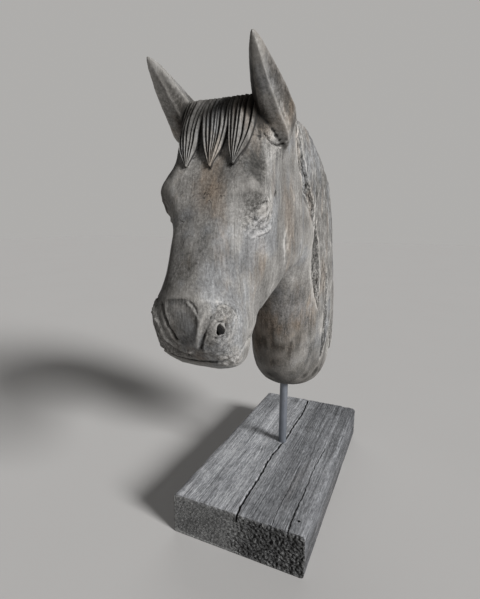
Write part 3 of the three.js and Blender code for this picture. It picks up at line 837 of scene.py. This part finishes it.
def nostrilShell(side):
    # a tapering, slightly bent hole: oval rings that run into the muzzle
    t = np.linspace(0, 1, 14)[:, None]
    angle = 2 * np.pi * np.arange(28)[None] / 28
    size = 1.15 - 0.75 * t ** 2
    size = size * (1 + 0.16 * np.sin(3 * angle + 0.6) + 0.12 * np.sin(2 * angle + 5 * t))
    a = nostril["halfWidth"] * size * np.cos(angle)
    b = nostril["halfLength"] * size * np.sin(angle) * (1 + 0.2 * np.cos(angle))
    centre = mixed(np.array(nostril["mouth"]), np.array(nostril["bottom"]), t)
    along = np.array([0.25, 0.9, 0.3])
    across = np.array([0.8, -0.35, 0.5])
    rings = centre[:, None] + a[..., None] * across + b[..., None] * along
    rings = rings * (side, 1, 1)
    return closedSkin(fromFace(rings) if side > 0 else fromFace(rings[:, ::-1]))


bar = {
    "radius": 7,
    "middle": (-1, 8),
    "foot": 23,              # height of its lower end, inside the block
    "top": 215,              # height of its upper end, inside the neck
    "clearance": 0.3,        # all round in both sockets
}


def rodShell(radius, low, high, rows=2, sides=48, middle=bar["middle"]):
    # straight round bar along z
    x, y = middle
    angle = 2 * np.pi * np.arange(sides) / sides
    z = np.linspace(low, high, rows)
    ring = np.stack([x + radius * np.cos(angle), y + radius * np.sin(angle)], -1)
    rings = np.concatenate([np.broadcast_to(ring, (rows, sides, 2)),
                            np.broadcast_to(z[:, None, None], (rows, sides, 1))], -1)
    return closedSkin(rings)


for side in (1, -1):
    joined(head, newPiece("nostril", nostrilShell(side)), "DIFFERENCE")
socketRadius = bar["radius"] + bar["clearance"]
neckSocket = rodShell(socketRadius, 100, bar["top"] + bar["clearance"])
joined(head, newPiece("socket", neckSocket), "DIFFERENCE")
report(f"nostrils and socket cut: {len(head.data.polygons)} faces")
shadeSmooth(head)


def addMask(mesh, name, values):
    layer = mesh.attributes.new(name, "FLOAT", "POINT")
    layer.data.foreach_set("value", values.astype(np.float32))


def reliefOf(points, normals, edges, fineHeight, rounds, broadHeight):
    # height above the surface softened 4 rounds, and above it softened many rounds, each
    # divided by what counts as 1, and added up
    fine, broad = (((points - softened(points, edges, n)) * normals).sum(1) for n in (4, rounds))
    return softened(np.stack([fine / fineHeight + broad / broadHeight], -1), edges, 1)[:, 0]


def inGroove(face):
    # 1 deep between the strands of the forelock, 0 on their crests and elsewhere; the
    # height above the forehead comes from a table of its depth every 1 mm
    rows, steps = np.arange(-12, 90, 1.0), np.arange(0, 50, 1.0)
    table = np.array([faceDepth(steps, u) for u in rows])
    zone = (face[:, 1] > -6) & (face[:, 1] < 82) & (np.abs(face[:, 0]) < 48) & (face[:, 2] < 12)
    x, u, v = face[zone].T
    i = np.clip(u - rows[0], 0, len(rows) - 1.001)
    j = np.clip(np.abs(x), 0, len(steps) - 1.001)
    low, side = i.astype(int), j.astype(int)
    upper = mixed(table[low, side], table[low, side + 1], j - side)
    lower = mixed(table[low + 1, side], table[low + 1, side + 1], j - side)
    height = mixed(upper, lower, i - low) - v
    groove = np.zeros(len(face))
    groove[zone] = smoothStep(3.6, 1.4, height) * smoothStep(0.1, 0.6, height)
    return groove


def markHead(mesh):
    points, normals, edges = surfaceOf(mesh)
    face = toFace(points)
    # the forelock grooves are lowered in the relief so that the wood paints them with shade
    relief = reliefOf(points, normals, edges, 0.26, 30, 1.9) - 3.5 * inGroove(face)
    addMask(mesh, "relief", np.clip(relief, -3, 3))
    zone, mane = inMane(points, face)
    addMask(mesh, "mane", smoothStep(-0.5, 1.5, mane) * (1 + smoothStep(16, 3, mane)) / 2)
    # one tone mask for real stains and the dark nose patch, and for painted shade and painted highlights: the
    # patches, lines and ear bands
    stain, brown = np.zeros(len(points)), np.zeros(len(points))
    for place, reach, tone, browner, both in stainsAndPaintedShade:
        for side in sidesOf(both):
            share = spot(face, place, reach, side)
            stain += tone * share
            brown += browner * share
    stain -= 0.9 * inNosePatch(face, -0.5, 0.8)
    for tone, width, both, path in highlightShadeAndScratchLines:
        for side in sidesOf(both):
            line = nearestOn(points, fromFace(smoothPath(np.array(path) * (side, 1, 1), 5)))
            close, d = distanceTo(points, line, 2 * width)
            stain[close] += tone * (np.exp(-(d / width) ** 2) - math.exp(-4))
    # painted highlight along each ear's ridge and painted shade on its planes turned from the light
    for side in (1, -1):
        root, tip, across, over = earFrame(side)
        length = np.linalg.norm(tip - root)
        share = (points - root) @ (tip - root) / length ** 2
        a, b = (points - root) @ across, (points - root) @ over
        near = smoothStep(32, 26, np.hypot(a, b)) * smoothStep(0.05, 0.25, share)
        turned = np.degrees(np.arctan2(b, a)) - horse["earTwist"] * (1 - np.clip(share, 0, 1)) ** 2
        for tone, browner, middle, half in earHighlightAndShadeBands:
            away = (turned - middle + 180) % 360 - 180
            band = near * np.exp(-(away / half) ** 2) * (1 if side > 0 else 0.5)
            stain += tone * band
            brown += browner * band
    rough = splintered(face)
    inside, _ = inHollow(points, zone)
    rough[zone] = np.maximum(rough[zone], smoothStep(-0.5, 1.5, inside))
    # painted shade inside the hollows of the mane, and a lighter line along their edge
    stain[zone] -= 1.2 * smoothStep(0.5, 3, inside)
    stain[zone] += 2.6 * np.maximum(0, 1 - np.abs(inside + 0.6) / 1.5)
    addMask(mesh, "stain", stain)
    addMask(mesh, "brown", brown)
    addMask(mesh, "splinters", rough)
    away = np.abs((face - sawMarks) / (11, 21, 9))
    addMask(mesh, "saw", smoothStep(1.15, 0.75, away.max(1)))


markHead(head.data)
report("head marked")

rod = newPiece("round_steel_rod", rodShell(bar["radius"], bar["foot"], bar["top"], 60, 64))
shadeSmooth(rod)

block = {
    "voxel": 1.15,
    "triangles": 180000,
    "size": (200, 400, 63),
    "corner": 5,             # radius of the long edges
    "fibreHeight": 0.42,
    "swellHeight": 0.5,
    "endPits": (0.3, 1.1),   # on the sawn end, and how much more on its coarse half
    "wornEdge": (0.8, 1.2),  # lost all along an edge, and how much more in places
    "wornEnd": (0.8, 1.4),
    # line x, wander, from y, to y, width, depth
    "cracks": [(1, 2.2, -203, 203, 3.6, 11), (75, 1.4, -203, 16, 1.5, 5), (52, 1.5, -203, -60, 0.9, 4),
               (38, 1.2, -120, 90, 0.7, 4), (-62, 1.3, 20, 203, 0.8, 5)],
    "nail": (84, -175),      # place of the nail hole
    "nailRadius": 1.7,
    "nailDepth": 9,
}


def blockShell():
    # rounded rectangle section, carried straight along y
    w, t, r = block["size"][0] / 2, block["size"][2], block["corner"]
    ring = []
    for cx, cz, start in ((w - r, r, -90), (w - r, t - r, 0), (r - w, t - r, 90), (r - w, r, 180)):
        for a in np.radians(np.linspace(start, start + 90, 7)):
            ring.append((cx + r * math.cos(a), cz + r * math.sin(a)))
    ring = np.array(ring)[::-1]
    y = np.linspace(-block["size"][1] / 2, block["size"][1] / 2, 2)
    rings = np.array([np.column_stack([ring[:, 0], np.full(len(ring), v), ring[:, 1]]) for v in y])
    return closedSkin(rings)


def crackLine(x, wander, y):
    # wanders as x + w (sin(y/47) + sin(y/19 + 1)/2), with a finer tremble on top
    line = x + wander * (np.sin(y / 47) + 0.5 * np.sin(y / 19 + 1))
    return line + 0.35 * np.sin(y / 3.1 + x) + 0.25 * np.sin(y / 5.3)


def crackShell(x, wander, y0, y1, width, depth, steps=160):
    # a V in the top, along the line of the crack
    y = np.linspace(y0, y1, steps)
    line = crackLine(x, wander, y)
    share = np.linspace(0, 1, steps)
    ends = np.where(np.abs(y) > 150, 1, 8 * np.minimum(share, 1 - share) + 0.1)
    taper = np.minimum(1, ends) * (1 + 0.3 * np.sin(y / 6.5 + x) * np.sin(y / 2.7))
    half, top, low = taper * width / 2, block["size"][2] + 4, block["size"][2] - depth
    ring = [(-0.3, low), (0.3, low), (1, block["size"][2]), (1.2, top), (-1.2, top), (-1, block["size"][2])]
    rings = np.stack([np.column_stack([line + half * a, y, np.full(steps, z)]) for a, z in ring], 1)
    return closedSkin(rings[:, ::-1])


base = newPiece("old_timber_block", blockShell())
clay(base, block)


def weather(mesh):
    points, normals, _ = surfaceOf(mesh)
    w, l, t = block["size"][0] / 2, block["size"][1] / 2, block["size"][2]
    endGrain = smoothStep(0.5, 0.8, np.abs(normals[:, 1]))
    free = smoothStep(0.5, 4, points[:, 2])
    # long fibres: ridges that run along y and wander a little
    lean = points + np.stack([2.5 * np.sin(points[:, 1] / 90), 0 * points[:, 1], 0 * points[:, 1]], -1)
    fibre = layeredNoise(lean * (1, 0.02, 1), 3.6, 5, 3)
    swell = layeredNoise(lean * (1, 0.05, 1), 16, 9, 2)
    push = (1 - endGrain) * (block["fibreHeight"] * fibre + block["swellHeight"] * swell - 0.4)
    # rough sawn ends, coarser on the right half
    coarse = smoothStep(-30, 40, points[:, 0]) * (points[:, 1] < 0)
    pit = layeredNoise(points, 2.6, 15, 2)
    least, more = block["endPits"]
    push += endGrain * ((least + more * coarse) * pit - 0.8)
    # worn long edges, uneven ends
    edgeWear = smoothStep(9, 0, np.hypot(w - np.abs(points[:, 0]), t - points[:, 2]))
    least, more = block["wornEdge"]
    push -= edgeWear * (least + more * np.abs(valueNoise(points * (0, 0.05, 0), 1.0, 21)))
    endEdge = smoothStep(6, 0, np.hypot(l - np.abs(points[:, 1]), t - points[:, 2]))
    least, more = block["wornEnd"]
    push -= endEdge * (least + more * np.abs(valueNoise(points * (1, 0, 0), 7.0, 23)))
    points += normals * (push * free)[:, None]
    points[:, 2] = np.maximum(points[:, 2], 0)
    putPoints(mesh, points)
    report("block weathered")


weather(base.data)
thinned(base, block)
for settings in block["cracks"]:
    joined(base, newPiece("crack", crackShell(*settings)), "DIFFERENCE")
blockSocket = rodShell(socketRadius, bar["foot"] - bar["clearance"], 90)
joined(base, newPiece("socket", blockSocket), "DIFFERENCE")
nailHole = rodShell(block["nailRadius"], block["size"][2] - block["nailDepth"], 70, 2, 16, block["nail"])
joined(base, newPiece("nail hole", nailHole), "DIFFERENCE")
shadeSmooth(base)
report(f"block thinned and cut: {len(base.data.polygons)} triangles")


def markBlock(mesh):
    points, normals, edges = surfaceOf(mesh)
    addMask(mesh, "relief", np.clip(reliefOf(points, normals, edges, 0.2, 24, 0.8), -3, 3))
    addMask(mesh, "endGrain", smoothStep(-3, -1.2, np.abs(points[:, 1]) - block["size"][1] / 2))
    # painted shade on the +x side, and darker towards the far end; both go into the coarse mask
    paintedSideShadeAndFarEnd = 0.6 * smoothStep(60, 190, points[:, 1]) + 0.9 * smoothStep(0.5, 0.9, normals[:, 0])
    addMask(mesh, "coarse", smoothStep(-12, 25, points[:, 0]) + paintedSideShadeAndFarEnd)
    inCrack = np.zeros(len(points))
    for x, wander, y0, y1, width, depth in block["cracks"]:
        away = np.abs(points[:, 0] - crackLine(x, wander, points[:, 1]))
        along = (points[:, 1] > y0) & (points[:, 1] < y1) & (points[:, 2] > block["size"][2] - depth - 1)
        inCrack += along * smoothStep(width / 2 + 0.2, width / 2 - 0.5, away)
    hole = np.hypot(*(points[:, :2] - block["nail"]).T)
    inCrack += (hole < block["nailRadius"] + 0.3) & (points[:, 2] > block["size"][2] - block["nailDepth"] - 4)
    addMask(mesh, "crack", np.minimum(inCrack, 1))


markBlock(base.data)


class Wire:
    # a socket; arithmetic on it adds Math nodes to its material
    def __init__(self, paint, socket):
        self.paint, self.socket = paint, socket

    def math(self, operation, *values):
        return self.paint.node("ShaderNodeMath", {"operation": operation}, values)

    def __add__(self, other):
        return self.math("ADD", self, other)

    def __sub__(self, other):
        return self.math("SUBTRACT", self, other)

    def __rsub__(self, other):
        return self.math("SUBTRACT", other, self)

    def __mul__(self, other):
        return self.math("MULTIPLY", self, other)

    def __pow__(self, other):
        return self.math("POWER", self, other)

    def __abs__(self):
        return self.math("ABSOLUTE", self)

    __radd__ = __add__
    __rmul__ = __mul__


class Paint:
    # one material and its nodes
    def __init__(self, name):
        self.material = bpy.data.materials.new(name)
        self.material.use_nodes = True
        self.tree = self.material.node_tree
        self.tree.nodes.clear()
        self.place = self.node("ShaderNodeTexCoord", {}, (), "Object")

    def node(self, kind, settings, inputs, output=0):
        # settings first, then values or links for the sockets by number or name
        node = self.tree.nodes.new(kind)
        for key, value in settings.items():
            if key == "stops":
                self.setStops(node.color_ramp, value)
            else:
                setattr(node, key, value)
        pairs = inputs.items() if isinstance(inputs, dict) else enumerate(inputs)
        for key, value in pairs:
            if isinstance(value, Wire):
                self.tree.links.new(value.socket, node.inputs[key])
            else:
                node.inputs[key].default_value = value
        return Wire(self, node.outputs[output]) if len(node.outputs) else node

    def setStops(self, ramp, stops):
        while len(ramp.elements) < len(stops):
            ramp.elements.new(0.5)
        for element, (position, colour) in zip(ramp.elements, stops):
            element.position = position
            element.color = (*colour, 1)

    def mapped(self, scale):
        return self.node("ShaderNodeMapping", {}, {"Vector": self.place, "Scale": scale})

    def noise(self, place, scale, detail=3.0, roughness=0.55, distortion=0.0):
        return self.node("ShaderNodeTexNoise", {}, {
            "Vector": place, "Scale": scale, "Detail": detail, "Roughness": roughness,
            "Distortion": distortion})

    def spread(self, value, low, high):
        # smooth step from low to high
        return self.node("ShaderNodeMapRange", {"interpolation_type": "SMOOTHSTEP"},
                         {"Value": value, "From Min": low, "From Max": high})

    def ramp(self, value, stops):
        return self.node("ShaderNodeValToRGB", {"stops": stops}, [value], "Color")

    def blend(self, share, a, b, kind="MIX"):
        colours = [c if isinstance(c, Wire) else (*c, 1) for c in (a, b)]
        return self.node("ShaderNodeMix", {"data_type": "RGBA", "blend_type": kind},
                         {"Factor": share, 6: colours[0], 7: colours[1]}, 2)

    def mask(self, name):
        return self.node("ShaderNodeAttribute", {"attribute_name": name}, (), "Fac")

    def finish(self, colour, roughness, height, distance, strength=1.0, **constants):
        bump = self.node("ShaderNodeBump", {}, {"Height": height, "Distance": distance, "Strength": strength})
        shader = self.node("ShaderNodeBsdfPrincipled", {}, {
            "Base Color": colour, "Roughness": roughness, "Normal": bump, **constants})
        self.node("ShaderNodeOutputMaterial", {}, {"Surface": shader})
        return self.material


woodFinish = {
    "tones": [(0.0, (0.018, 0.017, 0.015)), (0.25, (0.060, 0.057, 0.052)), (0.5, (0.142, 0.136, 0.128)),
              (0.75, (0.245, 0.238, 0.226)), (1.0, (0.42, 0.405, 0.385))],
    "warm": (0.60, 0.47, 0.36),
    "cool": (0.45, 0.50, 0.58),
    # dark for dirt in the marks and for painted shade in hollows and grooves
    "dirtAndShade": (0.010, 0.009, 0.008),
    "worn": (0.50, 0.475, 0.44),
}


def carvedWood():
    paint = Paint("weathered carved wood")
    relief, mane, saw = paint.mask("relief"), paint.mask("mane"), paint.mask("saw")
    stain, brown, splinters = paint.mask("stain"), paint.mask("brown"), paint.mask("splinters")
    grain = paint.mapped((1, 1, 0.08))
    fibres = paint.noise(grain, 560, 4, 0.7)
    streaks = paint.noise(grain, 130, 5, 0.65, 0.5)
    clouds = paint.noise(paint.place, 30, 6, 0.65)
    broad = paint.noise(paint.place, 9, 2, 0.5)
    specks = paint.noise(paint.place, 360, 5, 0.75)
    chips = (paint.noise(paint.place, 340, 5, 0.85) - 0.46) * splinters
    strands = paint.mapped((1, 1, 0.14))
    wear = paint.spread(relief, 0.5, 2.8)
    # painted shade in the hollows of the relief, forelock grooves included
    hollow = paint.spread(relief, -0.6, -2.8)
    bark = 4.4 * paint.noise(strands, 400, 5, 0.85) - 2.30
    # the stain mask brings real stains together with painted shade and painted highlights
    tone = (0.75 * clouds + 0.60 * streaks + 0.65 * fibres + 0.40 * broad + 1.00 * specks - 1.13
            + 0.11 * stain + 2.8 * chips + mane * bark + 0.08 * wear)
    colour = paint.ramp(tone, woodFinish["tones"])
    warmth = paint.spread(paint.noise(paint.mapped((1, 1, 0.35)), 20, 5, 0.65), 0.50, 0.62)
    coolness = paint.spread(paint.noise(paint.mapped((1, 1, 0.6)), 17, 5, 0.65), 0.50, 0.62)
    patches = paint.spread(warmth * 0.38 + brown * 0.7, 0, 1)
    colour = paint.blend(patches, colour, woodFinish["warm"], "SOFT_LIGHT")
    colour = paint.blend(coolness * 0.5, colour, woodFinish["cool"], "SOFT_LIGHT")
    flecks = paint.spread(paint.noise(grain, 260, 4, 0.75), 0.60, 0.72) * paint.spread(clouds, 0.48, 0.62)
    colour = paint.blend(flecks * 0.28 + wear * 0.22, colour, woodFinish["worn"])
    cracks = 1 - paint.spread(abs(paint.noise(paint.mapped((1, 1, 0.03)), 62, 2, 0.5) - 0.5), 0.001, 0.006)
    cracks = cracks * paint.spread(paint.noise(paint.place, 18, 2, 0.5), 0.56, 0.66)
    pits = paint.spread(specks, 0.61, 0.70)
    waves = paint.node("ShaderNodeTexWave", {"wave_type": "BANDS", "bands_direction": "Z"}, {
        "Vector": paint.place, "Scale": 73, "Distortion": 0.5, "Detail": 2, "Detail Scale": 1.5}, 1)
    lines = paint.spread(waves, 0.7, 0.1) * saw
    lines = lines * paint.spread(paint.noise(paint.place, 90, 3, 0.6), 0.36, 0.60)
    # hollows get painted shade; cracks, pits, saw lines and the mane's fibres are dark marks in the wood
    dark = (hollow * 0.85 + cracks * 0.6 + pits * 0.25 + lines * 0.24
            + mane * paint.spread(fibres, 0.50, 0.64) * 0.65)
    colour = paint.blend(paint.spread(dark, 0, 1), colour, woodFinish["dirtAndShade"])
    roughness = 0.66 + 0.25 * fibres - 0.12 * wear
    height = (0.4 * fibres + 0.45 * streaks + 0.3 * specks + 1.8 * chips
              - 0.5 * cracks - 0.3 * pits - 0.2 * lines)
    return paint.finish(colour, roughness, height, 0.0014, 0.85, **{"Specular IOR Level": 0.4})


steelFinish = {"dark": (0.070, 0.080, 0.095), "light": (0.30, 0.32, 0.36), "rust": (0.10, 0.06, 0.04)}


def darkSteel():
    paint = Paint("dark steel")
    drawn = paint.noise(paint.mapped((1, 1, 0.03)), 900, 3, 0.6)
    clouds = paint.noise(paint.mapped((1, 1, 0.5)), 60, 4, 0.6)
    colour = paint.blend(0.45 * drawn + 0.6 * clouds, steelFinish["dark"], steelFinish["light"])
    rust = paint.spread(paint.noise(paint.place, 140, 4, 0.65), 0.62, 0.74)
    colour = paint.blend(rust * 0.5, colour, steelFinish["rust"])
    roughness = 0.28 + 0.2 * clouds + 0.25 * rust
    return paint.finish(colour, roughness, drawn * 0.5 + rust * 0.6, 0.0003, 0.6, Metallic=0.55)


timberFinish = {
    "tones": [(0.0, (0.030, 0.031, 0.033)), (0.3, (0.095, 0.097, 0.103)), (0.5, (0.170, 0.174, 0.183)),
              (0.7, (0.265, 0.270, 0.282)), (1.0, (0.46, 0.465, 0.48))],
    "end": [(0.0, (0.006, 0.006, 0.006)), (0.42, (0.075, 0.075, 0.075)), (0.65, (0.17, 0.17, 0.168)),
            (1.0, (0.38, 0.38, 0.37))],
    "brown": (0.20, 0.155, 0.12),
    # dark for dirt and painted shade in hollows, cracks and the nail hole, and for fissures
    "dirtAndShade": (0.008, 0.008, 0.008),
    "worn": (0.56, 0.56, 0.58),
}


def oldTimber():
    paint = Paint("old grey timber")
    relief, end, coarse = paint.mask("relief"), paint.mask("endGrain"), paint.mask("coarse")
    crack = paint.mask("crack")
    along = paint.mapped((1, 0.025, 1))
    fibres = paint.noise(along, 560, 5, 0.75)
    bands = paint.noise(paint.mapped((1, 0.045, 1)), 62, 5, 0.65, 0.8)
    clouds = paint.noise(paint.place, 24, 5, 0.65)
    specks = paint.noise(paint.mapped((1, 0.3, 1)), 420, 4, 0.7)
    wear = paint.spread(relief, 0.6, 2.6)
    hollow = paint.spread(relief, -0.6, -2.6)
    # the coarse mask darkens the coarse half, the far end, and the +x side as painted shade
    tone = 1.3 * fibres + 0.9 * bands + 0.6 * clouds + 1.1 * specks + 0.10 * wear - 0.20 * coarse - 1.23
    colour = paint.ramp(tone, timberFinish["tones"])
    brownish = paint.spread(paint.noise(paint.mapped((1, 0.2, 1)), 15, 3, 0.6), 0.52, 0.72)
    colour = paint.blend(brownish * 0.30, colour, timberFinish["brown"], "OVERLAY")
    colour = paint.blend(wear * 0.12, colour, timberFinish["worn"])
    split = abs(paint.noise(paint.mapped((1, 0.012, 1)), 120, 3, 0.55) - 0.5)
    fissures = 1 - paint.spread(split, 0.002, 0.012)
    fissures = fissures * paint.spread(paint.noise(paint.mapped((1, 0.3, 1)), 22, 2), 0.46, 0.60) * (1 - end)
    x, z = (paint.node("ShaderNodeSeparateXYZ", {}, [paint.place], k) for k in (0, 2))
    centre = x * x + (z + 0.02) * (z + 0.02)
    turn = x.math("ARCTAN2", x, z + 0.02)
    arcs = paint.node("ShaderNodeCombineXYZ", {}, [centre ** 0.5, turn * 0.03, 0.0])
    pores = 0.65 * paint.noise(paint.place, 400, 5, 0.85) + 0.35 * paint.noise(arcs, 520, 4, 0.8)
    rings = paint.node("ShaderNodeTexWave", {"wave_type": "RINGS", "rings_direction": "Y"}, {
        "Vector": paint.place, "Scale": 55, "Distortion": 6, "Detail": 4, "Detail Scale": 9,
        "Detail Roughness": 0.7}, 1)
    endTone = ((2.6 + 1.4 * coarse) * (pores - 0.5) + 0.10 * (1 - 0.6 * coarse) * rings + 0.6 * clouds
               + 0.15 * wear + 0.20 - 0.22 * coarse)
    colour = paint.blend(end, colour, paint.ramp(endTone, timberFinish["end"]))
    # dirt and painted shade in the hollows of the relief, in the cracks and in the nail hole, with dark
    # fissures
    dark = paint.spread(hollow * 0.85 + fissures * 0.75 + crack, 0, 1)
    colour = paint.blend(dark, colour, timberFinish["dirtAndShade"])
    sawn = 1.2 * pores + 0.3 * rings
    height = (0.7 * fibres + 0.4 * bands + 0.3 * specks - 0.5 * fissures) * (1 - end) + sawn * end
    return paint.finish(colour, 0.80 + 0.15 * fibres, height, 0.0018, 0.9, **{"Specular IOR Level": 0.3})


def dress(piece, material, slot, *nodes):
    # gives the piece its material, hangs it from the root body, and hides the parts of the model that it
    # stands for
    piece.data.materials.clear()
    piece.data.materials.append(material)
    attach(piece, "root")
    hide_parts(*nodes)


dress(head, carvedWood(), "carved_wood", "horse_head")
dress(rod, darkSteel(), "dark_steel", "steel_rod")
dress(base, oldTimber(), "old_timber", "timber_base")
report("materials made")

stage = {
    "floorReach": 9000,    # mm from the middle to each edge
    "floor": (0.50, 0.49, 0.48),
    "sky": (0.60, 0.59, 0.575),
    "skyStrength": 0.13,   # light from all round
    "backdrop": 0.71,      # the sky as the camera sees it, as bright as the far floor
    "keyFrom": (0.95, -0.26, 0.48),
    "keyPower": 4.9,
    "keySpread": 18,       # degrees
    "backFrom": (-0.35, 1.0, 0.2),
    "backPower": 1.4,
    "backSpread": 60,
}


def makeStage():
    corners = stage["floorReach"] * np.array([(-1, -1, 0), (1, -1, 0), (1, 1, 0), (-1, 1, 0)], float)
    floor = newPiece("floor", (corners, [np.array([[0, 1, 2, 3]])]))
    paint = Paint("pale floor")
    tone = paint.noise(paint.place, 3, 2)
    colour = paint.blend(tone, stage["floor"], tuple(0.97 * c for c in stage["floor"]))
    floor.data.materials.append(paint.finish(colour, 0.95, tone, 0.0001, **{"Specular IOR Level": 0.0}))
    world = bpy.data.worlds.new("studio")
    world.use_nodes = True
    nodes, links = world.node_tree.nodes, world.node_tree.links
    # the sky that gives light, and the one that the camera sees
    ambient, seen = nodes["Background"], nodes.new("ShaderNodeBackground")
    for sky, strength in ((ambient, stage["skyStrength"]), (seen, stage["backdrop"])):
        sky.inputs["Color"].default_value = (*stage["sky"], 1)
        sky.inputs["Strength"].default_value = strength
    mix, path = nodes.new("ShaderNodeMixShader"), nodes.new("ShaderNodeLightPath")
    links.new(path.outputs["Is Camera Ray"], mix.inputs["Fac"])
    links.new(ambient.outputs[0], mix.inputs[1])
    links.new(seen.outputs[0], mix.inputs[2])
    links.new(mix.outputs[0], nodes["World Output"].inputs["Surface"])
    bpy.context.scene.world = world
    for name in ("key", "back"):
        light = bpy.data.lights.new(name, "SUN")
        light.energy = stage[name + "Power"]
        light.angle = math.radians(stage[name + "Spread"])
        lamp = bpy.data.objects.new(name, light)
        lamp.rotation_euler = Vector(stage[name + "From"]).to_track_quat("Z", "Y").to_euler()
        bpy.context.scene.collection.objects.link(lamp)


makeStage()
bpy.context.scene.view_settings.view_transform = "Standard"

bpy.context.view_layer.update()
report("scene done")
